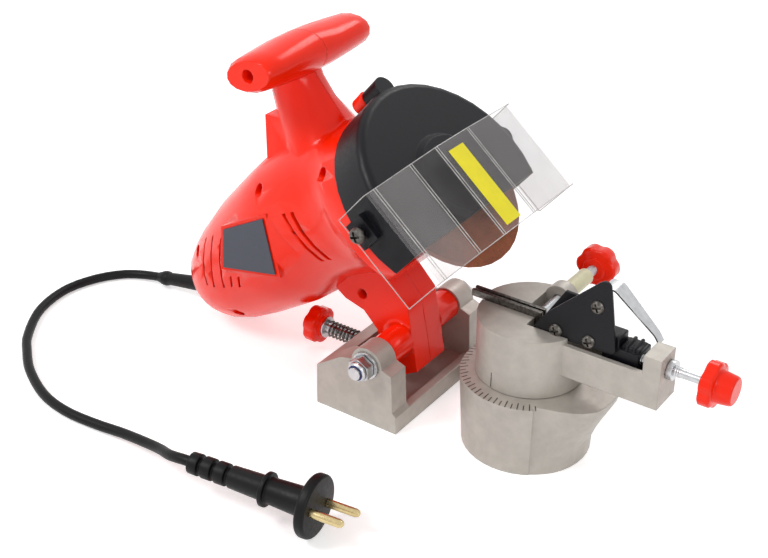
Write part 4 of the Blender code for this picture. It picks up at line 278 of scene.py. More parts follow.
# Knobs: rows of place along, reach and how far the lobes dip there, as shares
KNOB_LOBES = 6
KNOB_DIP = 0.10
KNOB_DIP_CURVE = 1.8
DEPTH_KNOB_SHARES = (
    (0, 0.56, 0), (0.02, 0.6, 0), (0.16, 0.6, 0), (0.17, 0.84, 0.8), (0.21, 0.94, 1), (0.3, 1, 1),
    (0.84, 1, 1), (0.94, 0.95, 1), (0.98, 0.86, 0.9), (1, 0.74, 0.8), (0.99, 0.55, 0.2), (0.92, 0.5, 0),
    (0.92, 0.2, 0),
)
CLAMP_KNOB_SHARES = (
    (0, 0.5, 0), (0.02, 0.54, 0), (0.14, 0.54, 0), (0.16, 0.84, 0.8), (0.2, 0.94, 1), (0.28, 1, 1),
    (0.84, 1, 1), (0.95, 0.94, 1), (1, 0.84, 0.9), (0.98, 0.76, 0.7), (0.72, 0.72, 0.5), (0.7, 0.4, 0),
    (0.94, 0.36, 0), (0.96, 0.3, 0), (0.96, 0.1, 0),
)
ADJUST_KNOB_SHARES = (
    (0, 0.84, 0.9), (0.02, 0.94, 1), (0.06, 1, 1), (0.38, 1, 1), (0.43, 0.95, 1), (0.455, 0.86, 0.8),
    (0.46, 0.72, 0), (0.48, 0.7, 0), (0.92, 0.63, 0), (0.97, 0.6, 0), (1, 0.54, 0), (1, 0.2, 0),
)

INNER_NODES = (
    "motor_stator", "armature_core", "motor_shaft", "commutator", "motor_bearing_rear",
    "motor_bearing_front", "brush_near", "brush_far", "cooling_fan", "drive_bracket", "bearing_plate",
    "spindle_bearing", "motor_pulley", "spindle_pulley", "drive_belt", "spindle",
)

BODIES = frame["record"]["behaviour"]["bodies"]
NODE_BODY = {node: body for body, nodes in BODIES.items() for node in nodes}
NODE_SLOT = {row["node"]: row["material_slot"] for row in frame["record"]["subparts"]}

# The cord's chosen route, from its sleeve's mouth to the tail of the plug
CORD_ROUTE = (
    (-0.20745, -0.0005, 0.00551), (-0.21334, -0.00055, 0.00439), (-0.2235, -0.003, 0.0034),
    (-0.2345, -0.01, 0.0032), (-0.2452, -0.0255, 0.0032), (-0.2509, -0.0476, 0.0032),
    (-0.2452, -0.0751, 0.0032), (-0.2284, -0.1006, 0.0032), (-0.2156, -0.1129, 0.0032),
    (-0.1971, -0.1272, 0.0032), (-0.1711, -0.14, 0.0032), (-0.1478, -0.1445, 0.0032),
    (-0.1243, -0.1437, 0.0034), (-0.1019, -0.1423, 0.005), (-0.0713, -0.1467, 0.0112),
    (-0.056, -0.153, 0.017), (-0.0451, -0.1545, 0.0201), (-0.0392, -0.1536, 0.02),
)


def linear(code):
    """A linear colour of an sRGB hex code."""
    channels = [int(code[i:i + 2], 16) / 255 for i in (0, 2, 4)]
    curve = [c / 12.92 if c <= 0.04045 else ((c + 0.055) / 1.055) ** 2.4 for c in channels]
    return (*curve, 1.0)


def colour_setting(name, description, code):
    """The colour of a finish that a user may change."""
    return bpy.props.FloatVectorProperty(
        name=name, description=description, subtype="COLOR", size=4, default=linear(code))


class SharpenerSizes(bpy.types.PropertyGroup):
    """Sizes of the pieces that only the finish adds."""

    screw_head: bpy.props.FloatProperty(
        name="Screw head", description="Radius of the cross-recess heads on the chain stop",
        default=0.0038, min=0.002, max=0.005, unit="LENGTH")
    thread_pitch: bpy.props.FloatProperty(
        name="Thread pitch", description="Rise of the clamp and stop threads for one turn",
        default=0.0012, min=0.0008, max=0.002, unit="LENGTH")
    tick_step: bpy.props.FloatProperty(
        name="Tick step", description="Angle between two marks of the vise's scale",
        default=math.radians(5), min=math.radians(2), max=math.radians(15), unit="ROTATION")
    cord_width: bpy.props.FloatProperty(
        name="Cord", description="Diameter of the mains cord",
        default=0.006, min=0.005, max=0.0075, unit="LENGTH")
    lens: bpy.props.FloatProperty(
        name="Lens", description="Focal length of the camera", default=64.605, unit="CAMERA")


class SharpenerColours(bpy.types.PropertyGroup):
    """Colours of the finishes, as the eye sees them in plain light."""

    shell: colour_setting("Shell", "Moulded shell, knobs and grip", "FF2708")
    guard: colour_setting("Guard", "Moulded guard, stop and switch", "0E0E13")
    casting: colour_setting("Casting", "Tumbled base and vise", "B6B0A8")
    grit: colour_setting("Disc", "Bonded grinding disc", "8E4518")
    film: colour_setting("Film", "Plain strip on the visor", "F3E40F")
    plate: colour_setting("Plate", "Bare plate on the shell", "353A48")


def add_node(tree, kind, sockets=None, **settings):
    """Add a node with its settings, and fill its sockets with values or links."""
    made = tree.nodes.new(kind)
    for name, value in settings.items():
        setattr(made, name, value)
    for name, value in (sockets or {}).items():
        socket = made.inputs[name]
        if isinstance(value, bpy.types.NodeSocket):
            tree.links.new(value, socket)
        else:
            socket.default_value = value
    return made


def new_finish(name):
    """An empty finish: its node tree, its shader and the piece's own coordinates."""
    finish = bpy.data.materials.new(name)
    finish.use_nodes = True
    tree = finish.node_tree
    shader = tree.nodes["Principled BSDF"]
    coordinates = add_node(tree, "ShaderNodeTexCoord").outputs["Object"]
    return finish, tree, shader, coordinates


def shades(colour, *shares):
    """A colour made darker or lighter by each share."""
    return [(*[min(1.0, channel * (1 + share)) for channel in colour[:3]], 1.0) for share in shares]


def mottle(tree, coordinates, size, detail=3.0, stretch=(1, 1, 1)):
    """A cloudy pattern whose clouds are about so many millimetres across."""
    mapped = add_node(tree, "ShaderNodeMapping", {"Vector": coordinates, "Scale": stretch})
    noise = add_node(tree, "ShaderNodeTexNoise", {
        "Vector": mapped.outputs["Vector"], "Scale": 1 / (size * MM), "Detail": detail, "Roughness": 0.6})
    return noise.outputs["Fac"]


def blended(tree, pattern, tones, ends=CLOUD_ENDS):
    """A colour that runs from one tone to another with a pattern."""
    mask = add_node(tree, "ShaderNodeMapRange", {"Value": pattern, "From Min": ends[0], "From Max": ends[1]})
    mix = add_node(tree, "ShaderNodeMix", {
        "Factor": mask.outputs["Result"], MIX_FIRST: tones[0], MIX_SECOND: tones[1]}, data_type="RGBA")
    return mix.outputs[MIX_RESULT]


def eased(tree, shader, radius, pattern=None, depth=0.0, strength=0.0):
    """Edges rounded to the light by a radius, with a pattern raised on them, in millimetres."""
    edge = add_node(tree, "ShaderNodeBevel", {"Radius": radius * MM}, samples=EDGE_SAMPLES)
    normal = edge.outputs["Normal"]
    if pattern is not None:
        raised = add_node(tree, "ShaderNodeBump", {
            "Height": pattern, "Distance": depth * MM, "Strength": strength, "Normal": normal})
        normal = raised.outputs["Normal"]
    tree.links.new(normal, shader.inputs["Normal"])


def clouded(name, tones, cloud, gloss=None, edge=0.0, skin=None, ends=CLOUD_ENDS, **values):
    """A finish of two tones in clouds, with what it has of clouded gloss, soft edges and a raised skin.

    A pattern is (size in mm, detail, stretch) as far as it is given. gloss is (least roughness, most,
    *pattern), edge is in mm, skin is (depth in mm, strength, *pattern), and the values are plain ones
    on the shader's own sockets.
    """
    finish, tree, shader, place = new_finish(name)
    tone = blended(tree, mottle(tree, place, *cloud), tones, ends)
    tree.links.new(tone, shader.inputs["Base Color"])
    if gloss:
        least, most, *pattern = gloss
        rough = add_node(tree, "ShaderNodeMapRange", {
            "Value": mottle(tree, place, *pattern), "From Min": CLOUD_ENDS[0], "From Max": CLOUD_ENDS[1],
            "To Min": least, "To Max": most})
        tree.links.new(rough.outputs["Result"], shader.inputs["Roughness"])
    set_look(shader, **values)
    if skin:
        depth, strength, *pattern = skin
        eased(tree, shader, edge, mottle(tree, place, *pattern), depth, strength)
    elif edge:
        eased(tree, shader, edge)
    return finish


def set_look(shader, **values):
    """Plain values on the shader's own sockets."""
    for name, value in values.items():
        shader.inputs[name.replace("_", " ")].default_value = value


def moulded_abs(colour):
    """Injection moulded ABS: a deep glossy red that flows slightly in tone and ripples."""
    return clouded(
        "gloss_red_abs", shades(colour, -0.05, 0.04), cloud=(30,), gloss=(0.16, 0.22, 6),
        edge=0.8, skin=(0.10, 0.05, 9, 1.0), IOR=1.53, Specular_IOR_Level=0.22)


def moulded_nylon(colour):
    """Glass filled nylon, moulded: charcoal, satin, with a fine spark texture."""
    # Real spark texture is 0.1 mm; drawn at 0.5 mm to show
    return clouded(
        "satin_nylon", shades(colour, -0.12, 0.10), cloud=(18,), gloss=(0.34, 0.46, 2.5),
        edge=0.6, skin=(0.05, 0.25, 0.5, 2.0), IOR=1.52, Specular_IOR_Level=0.22)


def tumbled_casting(colour):
    """Die cast aluminium, tumbled: warm matt grey with darker stains and a fine peened skin."""
    # Peening dimples of about 0.3 mm, drawn at 0.8 mm to show
    return clouded(
        "tumbled_casting", shades(colour, -0.08, 0.05), cloud=(9, 6.0),
        gloss=(0.38, 0.55, 4, 4.0), edge=0.7, skin=(0.12, 0.35, 0.8, 3.0), ends=(0.35, 0.65),
        Metallic=0.40, Specular_IOR_Level=0.40)


def zinc_plate():
    """Turned steel with bright zinc plating: cool, glossy, with faint turning lines."""
    return clouded(
        "bright_zinc_steel", (linear("B4B6B8"), linear("CFD0D2")), cloud=(7,), gloss=(0.24, 0.34, 5),
        edge=0.3, skin=(0.02, 0.10, 2, 2.0), Metallic=1.0)


def oiled_black_steel():
    """Blackened and oiled steel, worn a little brighter in patches."""
    return clouded(
        "oiled_black_steel", (linear("45423F"), linear("78746F")), cloud=(2,), gloss=(0.28, 0.42, 1),
        edge=0.25, Metallic=0.9)


def clear_sheet():
    """Bent polycarbonate sheet: clear, with a whitish veil painted on as its reflection, at its own level on
    each flat and nearly none on the flat beside the crest.
    """
    finish, tree, shader, place = new_finish("clear_polycarbonate")
    across = add_node(tree, "ShaderNodeSeparateXYZ", {"Vector": place})
    spread = add_node(tree, "ShaderNodeMapRange", {
        "Value": across.outputs["Y"], "From Min": VISOR_PATH[1][1], "From Max": VISOR_PATH[5][1]})
    painted_reflection = add_node(tree, "ShaderNodeValToRGB", {"Fac": spread.outputs["Result"]})
    painted_reflection.color_ramp.interpolation = "CONSTANT"
    painted_reflection.color_ramp.elements.remove(painted_reflection.color_ramp.elements[1])
    # Each flat gets its own whitish level of painted reflection
    for start, level in zip(PAINTED_REFLECTION_PLACES, PAINTED_REFLECTION_LEVELS):
        stop = painted_reflection.color_ramp.elements.new(start)
        stop.color = (level, level, level, 1)
    reflection_sway = add_node(tree, "ShaderNodeMapRange", {
        "Value": mottle(tree, place, PAINTED_REFLECTION_CLOUD), "From Min": CLOUD_ENDS[0], "From Max": CLOUD_ENDS[1],
        "To Min": PAINTED_REFLECTION_SWAY[0], "To Max": PAINTED_REFLECTION_SWAY[1]})
    level = add_node(tree, "ShaderNodeMath", {
        0: painted_reflection.outputs["Color"], 1: reflection_sway.outputs["Result"]}, operation="MULTIPLY")
    tree.links.new(level.outputs[0], shader.inputs["Alpha"])
    # The whitish base colour that shows through the alpha is the painted reflection veil
    set_look(shader, Base_Color=linear("BDB8B8"), Roughness=0.3, IOR=1.58, Specular_IOR_Level=0.35)
    return finish


def painted_fold_highlight():
    """Painted highlight on the sheet's folds and rims: whitish, on thin bars raised a hair off the sheet."""
    return clouded(
        "painted_fold_highlight", (linear("B9B6B4"), linear("E6E4E2")), cloud=(5,),
        Roughness=0.2, IOR=1.58, Alpha=0.55)


def bonded_grit(colour):
    """Resin bonded abrasive: dull brown, packed with light and dark grains."""
    finish, tree, shader, place = new_finish("bonded_grit")
    # Grains of about 0.3 mm, drawn at 0.7 mm to show
    grains = add_node(tree, "ShaderNodeTexVoronoi", {"Vector": place, "Scale": 1 / (0.7 * MM)})
    worn = blended(tree, mottle(tree, place, 10), shades(colour, -0.15, 0.18))
    speck = add_node(tree, "ShaderNodeMix", {
        "Factor": 0.22, MIX_FIRST: worn, MIX_SECOND: grains.outputs["Color"]},
        data_type="RGBA", blend_type="OVERLAY")
    dull = add_node(tree, "ShaderNodeHueSaturation", {"Saturation": 0.9, "Color": speck.outputs[MIX_RESULT]})
    tree.links.new(dull.outputs["Color"], shader.inputs["Base Color"])
    set_look(shader, Roughness=0.88)
    eased(tree, shader, 0.4, grains.outputs["Distance"], 0.15, 0.5)
    return finish


def flexible_pvc():
    """Extruded and overmoulded PVC: soft black with a dull sheen and faint scuffs."""
    return clouded(
        "flexible_pvc", (linear("060607"), linear("0B0B0D")), cloud=(8,), gloss=(0.38, 0.52, 2),
        edge=0.5, skin=(0.05, 0.15, 0.8, 2.0), IOR=1.5, Specular_IOR_Level=0.2)


def bare_plate(colour):
    """Screen grade polyester plate with nothing printed on it: slate, satin, finely brushed."""
    brushed = (1.5, 2.0, (0.1, 1, 1))
    return clouded(
        "bare_plate", shades(colour, -0.08, 0.08), cloud=brushed,
        edge=0.3, skin=(0.02, 0.2, *brushed), Roughness=0.42, IOR=1.55)


def yellow_film(colour):
    """Plain self-adhesive film: a strong even yellow with a satin face."""
    return clouded(
        "yellow_film", shades(colour, -0.05, 0.03), cloud=(8,),
        edge=0.1, skin=(0.01, 0.2, 1), Roughness=0.35, IOR=1.5)


def plain_moulding(name, code, roughness):
    """Small moulded pieces: an even colour with a slight cloud and soft edges."""
    return clouded(
        name, shades(linear(code), -0.08, 0.08), cloud=(4,),
        edge=0.3, skin=(0.02, 0.2, 0.7), Roughness=roughness, IOR=1.5)


def plain_metal(name, code, roughness):
    """Small worked metal: an even tone with fine lines round it."""
    return clouded(
        name, shades(linear(code), -0.12, 0.10), cloud=(2,),
        gloss=(roughness * 0.8, roughness * 1.2, 1), edge=0.25, Metallic=1.0)


def finish_for(slot):
    """The finish of a record slot, made the first time it is asked for."""
    colours = bpy.context.scene.sharpener_colours
    makers = {
        "red_abs": (moulded_abs, colours.shell),
        "black_plastic": (moulded_nylon, colours.guard),
        "cast_metal": (tumbled_casting, colours.casting),
        "zinc": (zinc_plate,),
        "dark_steel": (oiled_black_steel,),
        "clear_sheet": (clear_sheet,),
        "abrasive": (bonded_grit, colours.grit),
        "rubber": (flexible_pvc,),
        "label": (bare_plate, colours.plate),
        "blue_nylon": (plain_moulding, "blue_nylon", "1B3E8C", 0.35),
        "cream_sleeve": (plain_moulding, "cream_sleeve", "DCD7B4", 0.45),
        "copper": (plain_metal, "turned_copper", "C2764C", 0.35),
        "laminate": (plain_metal, "stacked_laminations", "83858A", 0.45),
        "brass": (plain_metal, "drawn_brass", "CDB98A", 0.25),
    }
    if slot not in FINISHES:
        maker, *values = makers[slot]
        FINISHES[slot] = maker(*values)
    return FINISHES[slot]


FINISHES = {}


def moved(bm, matrix):
    """Move and turn a whole shape."""
    bmesh.ops.transform(bm, matrix=matrix, verts=bm.verts)
    return bm


def standing(start, axis):
    """What takes a shape drawn up from zero to its start and turns it along its axis."""
    turn = Vector((0, 0, 1)).rotation_difference(Vector(axis)).to_matrix().to_4x4()
    return Matrix.Translation(Vector(start)) @ turn


def turned(profile, start, axis):
    """A profile of (place along the axis, radius) spun full circle about the axis."""
    bm = bmesh.new()
    verts = [bm.verts.new((radius, 0, along)) for along, radius in profile]
    edges = [bm.edges.new(pair) for pair in zip(verts, verts[1:])]
    bmesh.ops.spin(
        bm, geom=verts + edges, cent=(0, 0, 0), axis=(0, 0, 1), dvec=(0, 0, 0),
        angle=math.tau, steps=TURN_STEPS, use_merge=True, use_duplicate=False)
    return moved(bm, standing(start, axis))


def rod(start, axis, length, radius, chamfer=0.0):
    """A round bar along an axis, with its far edge chamfered."""
    edge = [(length, radius)]
    if chamfer:
        edge = [(length - chamfer, radius), (length, radius - chamfer)]
    return turned([(0, 0), (0, radius), *edge, (length, 0)], start, axis)


def skinned(rings):
    """A closed skin through rings of as many points each, capped at both ends."""
    bm = bmesh.new()
    rows = [[bm.verts.new(point) for point in ring] for ring in rings]
    for low, high in zip(rows, rows[1:]):
        for i, here in enumerate(low):
            j = (i + 1) % len(low)
            bm.faces.new((here, low[j], high[j], high[i]))
    bm.faces.new(rows[0][::-1])
    bm.faces.new(rows[-1])
    return bm


def block(low, high):
    """A box between two corners."""
    low = Vector(low)
    high = Vector(high)
    bm = bmesh.new()
    bmesh.ops.create_cube(bm, size=1)
    bmesh.ops.scale(bm, vec=high - low, verts=bm.verts)
    bmesh.ops.translate(bm, vec=(low + high) / 2, verts=bm.verts)
    return bm


def beveled(bm, edges, width, segments):
    """Round chosen edges by a real bevel."""
    bmesh.ops.bevel(
        bm, geom=edges, offset=width, offset_type="OFFSET", segments=segments, profile=0.5,
        affect="EDGES", clamp_overlap=True, material=-1)
    return bm


def rounded(bm, width, segments=SMALL_STEPS, angle=SHARP_DEG):
    """Round the sharp edges of a closed shape."""
    sharp = [e for e in bm.edges if e.is_manifold and e.calc_face_angle() > math.radians(angle)]
    return beveled(bm, sharp, width, segments)


def folded(pairs, fold, segments, thickness):
    """A sheet through pairs of points, bent round at its folds and given its thickness."""
    bm = bmesh.new()
    rows = [(bm.verts.new(first), bm.verts.new(second)) for first, second in pairs]
    for (first_a, second_a), (first_b, second_b) in zip(rows, rows[1:]):
        bm.faces.new((first_a, second_a, second_b, first_b))
    beveled(bm, [edge for edge in bm.edges if len(edge.link_faces) == 2], fold, segments)
    bmesh.ops.solidify(bm, geom=bm.faces, thickness=thickness)
    bmesh.ops.recalc_face_normals(bm, faces=bm.faces)
    return bm


def united(parts):
    """Several shapes in one mesh."""
    whole = bmesh.new()
    for part in parts:
        mesh = bpy.data.meshes.new("part")
        part.to_mesh(mesh)
        part.free()
        whole.from_mesh(mesh)
        bpy.data.meshes.remove(mesh)
    return whole


def linked(name, data):
    """An object in the scene that holds some data."""
    obj = bpy.data.objects.new(name, data)
    bpy.context.scene.collection.objects.link(obj)
    return obj


def aimed(name, data, place, turn):
    """A camera or lamp in the scene, in its place and turned as it looks."""
    obj = linked(name, data)
    obj.location = place
    obj.rotation_euler = turn
    return obj


def cleaned(bm):
    """Merge a shape's doubled points and turn its faces outwards."""
    bmesh.ops.remove_doubles(bm, verts=bm.verts, dist=MERGE)
    bmesh.ops.recalc_face_normals(bm, faces=bm.faces)
    return bm


def shown(name, bm):
    """An object in the scene that holds a shape."""
    mesh = bpy.data.meshes.new(name)
    bm.to_mesh(mesh)
    bm.free()
    return linked(name, mesh)


def carved(body, tool):
    """What is left of one shape when another is cut out of it."""
    holders = [shown("carving", cleaned(bm)) for bm in (body, tool)]
    step = holders[0].modifiers.new("carve", "BOOLEAN")
    step.operation = "DIFFERENCE"
    step.solver = "EXACT"
    step.object = holders[1]
    bpy.context.view_layer.update()
    graph = bpy.context.evaluated_depsgraph_get()
    result = bpy.data.meshes.new_from_object(holders[0].evaluated_get(graph))
    bm = bmesh.new()
    bm.from_mesh(result)
    for data in [result, *[holder.data for holder in holders]]:
        bpy.data.meshes.remove(data)
    return bm


def piece(name, bm, slot, body, *nodes, finish=None):
    """A finished piece: its smooth mesh, finish and body, and the nodes it stands for."""
    obj = shown(name, cleaned(bm))
    obj.data.shade_smooth()
    obj.data.set_sharp_from_angle(angle=math.radians(SHARP_DEG))
    obj.data.materials.append(finish or finish_for(slot))
    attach(obj, body)
    if nodes:
        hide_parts(*nodes)
    return obj


def refinish(mesh, slot):
    """Give a mesh one finish in place of what it has."""
    mesh.materials.clear()
    mesh.materials.append(finish_for(slot))


def dressed(node, segments=SMALL_STEPS, cuts=()):
    """A node's own shape as a piece, less any cuts, its sharp edges rounded as far as the table says.

    The copy's loose triangles are joined, and its flat stretches cleared, before anything else.
    """
    bm = bmesh.new()
    bm.from_mesh(frame["nodes"][node].data)
    bmesh.ops.remove_doubles(bm, verts=bm.verts, dist=MERGE)
    bmesh.ops.dissolve_limit(
        bm, angle_limit=math.radians(FLAT_DEG), verts=bm.verts, edges=bm.edges, delimit={"NORMAL"})
    for tool in cuts:
        bm = carved(bm, tool)
    if node in EDGE_MM:
        rounded(bm, EDGE_MM[node] * MM, segments)
    obj = piece(node + "_dressed", bm, NODE_SLOT[node], NODE_BODY[node], node)
    weight = obj.modifiers.new("weighted", "WEIGHTED_NORMAL")
    weight.keep_sharp = True
    return obj


def cross_head(start, axis, radius, height):
    """A domed screw head with a cross recess."""
    head = turned([(along * height, reach * radius) for along, reach in HEAD_SHARES], start, axis)
    reach = radius * RECESS_REACH
    arm = radius * RECESS_ARM
    turn = standing(start, axis) @ Matrix.Rotation(math.radians(CROSS_TURN_DEG), 4, "Z")
    for wide, deep in ((reach, arm), (arm, reach)):
        slot = block((-wide, -deep, height * RECESS_FLOOR), (wide, deep, 2 * height))
        head = carved(head, moved(slot, turn))
    return head


def round_node(node, axis):
    """Where a round node starts along its axis, and its length and radius."""
    low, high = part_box(node)
    k = [abs(part) for part in axis].index(1)
    across = (k + 2) % 3
    start = (low + high) / 2
    start[k] = low[k] if axis[k] > 0 else high[k]
    return start, high[k] - low[k], (high[across] - low[across]) / 2


def screw_piece(node, side, head_radius, head_height, shank_radius):
    """A cross-recess screw along y in a node's place, its head at the end on one side."""
    axis = Vector((0, side, 0))
    start, length = round_node(node, axis)[:2]
    length -= head_height
    shank = rod(start, axis, length, shank_radius)
    head = cross_head(start + axis * length, axis, head_radius, head_height)
    return piece(node + "_cross", united([shank, head]), "dark_steel", NODE_BODY[node], node)


def bar(start, end, radius):
    """A thin round bar between two points."""
    start = Vector(start)
    along = Vector(end) - start
    bm = bmesh.new()
    bmesh.ops.create_cone(
        bm, cap_ends=True, segments=BAR_SIDES, radius1=radius, radius2=radius, depth=along.length)
    bmesh.ops.translate(bm, vec=(0, 0, along.length / 2), verts=bm.verts)
    return moved(bm, standing(start, along))


def sheet_face(y):
    """How far out the visor's outer face stands at a place across it."""
    for (s_a, y_a), (s_b, y_b) in zip(VISOR_PATH, VISOR_PATH[1:]):
        if y_a < y_b and y_a <= y <= y_b:
            return s_a + (s_b - s_a) * (y - y_a) / (y_b - y_a) + VISOR_THICKNESS
    return VISOR_PATH[0][0]


def in_head(bm):
    """Put a shape drawn as (s, y, t) in the head's frame into the world."""
    lean = Matrix.Rotation(-math.radians(HEAD_LEAN_DEG), 4, "Y")
    return moved(bm, Matrix.Translation((0, 0, HINGE_HEIGHT)) @ lean)


def prism(outline, near_y, far_y):
    """An outline in x and z, drawn out along y."""
    bm = bmesh.new()
    bm.faces.new([bm.verts.new((x, near_y, z)) for x, z in outline])
    grown = bmesh.ops.extrude_face_region(bm, geom=bm.faces[:])["geom"]
    ends = [part for part in grown if isinstance(part, bmesh.types.BMVert)]
    bmesh.ops.translate(bm, vec=(0, far_y - near_y, 0), verts=ends)
    bmesh.ops.recalc_face_normals(bm, faces=bm.faces)
    return bm


def wing_taper(side):
    """The cutter that draws one flank of the wing in to the drum, as a boat's bow is drawn in."""
    rings = []
    for i in range(WING_TAPER_STEPS + 1):
        share = i / WING_TAPER_STEPS
        angle = side * math.radians(WING_DEG - share * WING_TAPER_DEG)
        ease = share * share * (3 - 2 * share)
        ring = [(WING_CORE + ease * (reach + WING_CLEAR - WING_CORE), height) for height, reach in WING_ROWS]
        ring += [(WING_OUTSIDE, WING_ROWS[-1][0]), (WING_OUTSIDE, WING_ROWS[0][0])]
        rings.append([(VISE_X + reach * math.cos(angle), VISE_Y + reach * math.sin(angle), height)
                      for reach, height in ring])
    bm = skinned(rings)
    bmesh.ops.recalc_face_normals(bm, faces=bm.faces)
    return bm


def polar(reach, angle, height):
    """A point at a reach and a turn round the upright axis."""
    return Vector((reach * math.cos(angle), reach * math.sin(angle), height))


def threaded(start, axis, length, radius):
    """A rod with a helical thread, drawn with a few rows to each turn of the thread."""
    pitch = bpy.context.scene.sharpener_sizes.thread_pitch
    depth = THREAD_DEPTH * pitch
    rows = int(THREAD_ROWS * length / pitch)
    rings = []
    for k in range(rows + 1):
        along = length * k / rows
        ring = []
        for i in range(THREAD_SIDES):
            turn = i / THREAD_SIDES
            wave = abs(2 * ((along / pitch - turn) % 1) - 1)
            ring.append(polar(radius - depth * wave, math.tau * turn, along))
        rings.append(ring)
    return moved(skinned(rings), standing(start, axis))


def lobed(start, axis, rows):
    """A moulded knob: rows of (place along, radius, share of the lobes' dip)."""
    rings = []
    for along, radius, share in rows:
        ring = []
        for i in range(KNOB_SIDES):
            angle = math.tau * i / KNOB_SIDES
            dip = ((1 - math.cos(KNOB_LOBES * angle)) / 2) ** KNOB_DIP_CURVE
            ring.append(polar(radius * (1 - KNOB_DIP * share * dip), angle, along))
        rings.append(ring)
    return moved(skinned(rings), standing(start, axis))


def thread_piece(node, axis):
    """A threaded rod in a node's place."""
    start, length, radius = round_node(node, axis)
    bm = threaded(start, axis, length, radius)
    return piece(node + "_thread", bm, "zinc", NODE_BODY[node], node)


def knob_piece(node, axis, shares):
    """A lobed knob in a node's place, its rows shares of the node's length and radius."""
    start, length, radius = round_node(node, axis)
    rows = [(place * length, reach * radius, share) for place, reach, share in shares]
    return piece(node + "_lobed", lobed(start, axis, rows), "red_abs", NODE_BODY[node], node)


def seen_white(tree):
    """One for what the camera, gloss and glass see, and nothing for the light on the object."""
    path = add_node(tree, "ShaderNodeLightPath")
    seen = path.outputs["Is Camera Ray"]
    for ray in ("Is Glossy Ray", "Is Transmission Ray"):
        larger = add_node(tree, "ShaderNodeMath", {0: seen, 1: path.outputs[ray]}, operation="MAXIMUM")
        seen = larger.outputs[0]
    return seen


def pale_floor():
    """White bench board: bright to the camera, and dark only where the object shades it."""
    finish = clouded(
        "pale_floor", (linear("F6F6F6"), linear("FAFAFA")), cloud=(60,), Roughness=0.6,
        Emission_Color=linear("FFFFFF"))
    tree = finish.node_tree
    lift = add_node(tree, "ShaderNodeMath", {0: seen_white(tree), 1: FLOOR_LIFT}, operation="MULTIPLY")
    tree.links.new(lift.outputs[0], tree.nodes["Principled BSDF"].inputs["Emission Strength"])
    return finish


def route_points(places, step):
    """Points at a steady step on a smooth curve through chosen places."""
    places = [Vector(place) for place in places]
    padded = [2 * places[0] - places[1], *places, 2 * places[-1] - places[-2]]
    dense = []
    for a, b, c, d in zip(padded, padded[1:], padded[2:], padded[3:]):
        for k in range(ROUTE_SAMPLES):
            u = k / ROUTE_SAMPLES
            leave = (c - a) / 2
            arrive = (d - b) / 2
            dense.append(
                b * (2 * u ** 3 - 3 * u ** 2 + 1) + leave * (u ** 3 - 2 * u ** 2 + u)
                + c * (3 * u ** 2 - 2 * u ** 3) + arrive * (u ** 3 - u ** 2))
    kept = [dense[0]]
    for point in dense[1:]:
        if (point - kept[-1]).length >= step:
            kept.append(point)
    return [*kept, places[-1]]


class SHARPENER_OT_stage(bpy.types.Operator):
    """Set the camera, the pale floor, the soft lamps and the world."""

    bl_idname = "sharpener.stage"
    bl_label = "Stage"

    def execute(self, context):
        scene = context.scene
        scene.view_settings.view_transform = "Standard"
        camera_data = bpy.data.cameras.new("camera")
        camera_data.lens = scene.sharpener_sizes.lens
        camera_data.sensor_fit = "HORIZONTAL"
        turn = [math.radians(angle) for angle in CAMERA_TURN_DEG]
        scene.camera = aimed("camera", camera_data, CAMERA_PLACE, turn)
        world = bpy.data.worlds.new("soft_sky")
        world.use_nodes = True
        tree = world.node_tree
        sky = tree.nodes["Background"]
        sky.inputs["Color"].default_value = linear("FFFFFF")
        level = add_node(tree, "ShaderNodeMapRange", {
            "Value": seen_white(tree), "To Min": SKY_STRENGTH, "To Max": 1.0})
        tree.links.new(level.outputs["Result"], sky.inputs["Strength"])
        scene.world = world
        for name, (place, size, power) in LAMPS.items():
            lamp_data = bpy.data.lights.new(name, "AREA")
            lamp_data.shape = "DISK"
            lamp_data.size = size
            lamp_data.energy = power
            aim = Vector(LAMP_TARGET) - Vector(place)
            aimed(name, lamp_data, place, aim.to_track_quat("-Z", "Y").to_euler())
        bm = bmesh.new()
        bmesh.ops.create_grid(bm, x_segments=1, y_segments=1, size=FLOOR_HALF)
        bmesh.ops.translate(bm, vec=(0, 0, -FLOOR_DROP), verts=bm.verts)
        floor = shown("floor", bm)
        floor.data.materials.append(pale_floor())
        return {"FINISHED"}


class SHARPENER_OT_cord(bpy.types.Operator):
    """Lay the mains cord from its sleeve to its plug, and dress both."""

    bl_idname = "sharpener.cord"
    bl_label = "Cord"

    def execute(self, context):
        width = context.scene.sharpener_sizes.cord_width
        points = route_points(CORD_ROUTE, width)
        curve = bpy.data.curves.new("mains_cord", "CURVE")
        curve.dimensions = "3D"
        curve.bevel_depth = width / 2
        curve.bevel_resolution = CORD_RESOLUTION
        curve.use_fill_caps = True
        spline = curve.splines.new("POLY")
        spline.points.add(len(points) - 1)
        for point, place in zip(spline.points, points):
            point.co = (*place, 1)
        spline.use_smooth = True
        drawn = bpy.data.objects.new("cord_curve", curve)
        tube = bpy.data.meshes.new_from_object(drawn)
        tube.name = "mains_cord"
        cord = linked("mains_cord", tube)
        bpy.data.objects.remove(drawn)
        refinish(tube, "rubber")
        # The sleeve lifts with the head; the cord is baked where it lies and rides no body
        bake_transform(cord)
        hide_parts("cord")
        plug = rounded(turned(PLUG_ROWS, PLUG_TAIL, PLUG_AXIS), PLUG_EDGE, FULL_STEPS)
        plug = piece("plug_moulding", plug, "rubber", "base", "plug_body")
        for node in ("plug_pin_near", "plug_pin_far"):
            low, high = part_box(node)
            root = (low + high) / 2 - Vector(PLUG_AXIS).normalized() * PIN_LENGTH / 2
            pin = turned(PIN_ROWS, root, PLUG_AXIS)
            piece(node + "_turned", pin, "brass", "base", node)
        dressed("cord_sleeve")
        return {"FINISHED"}


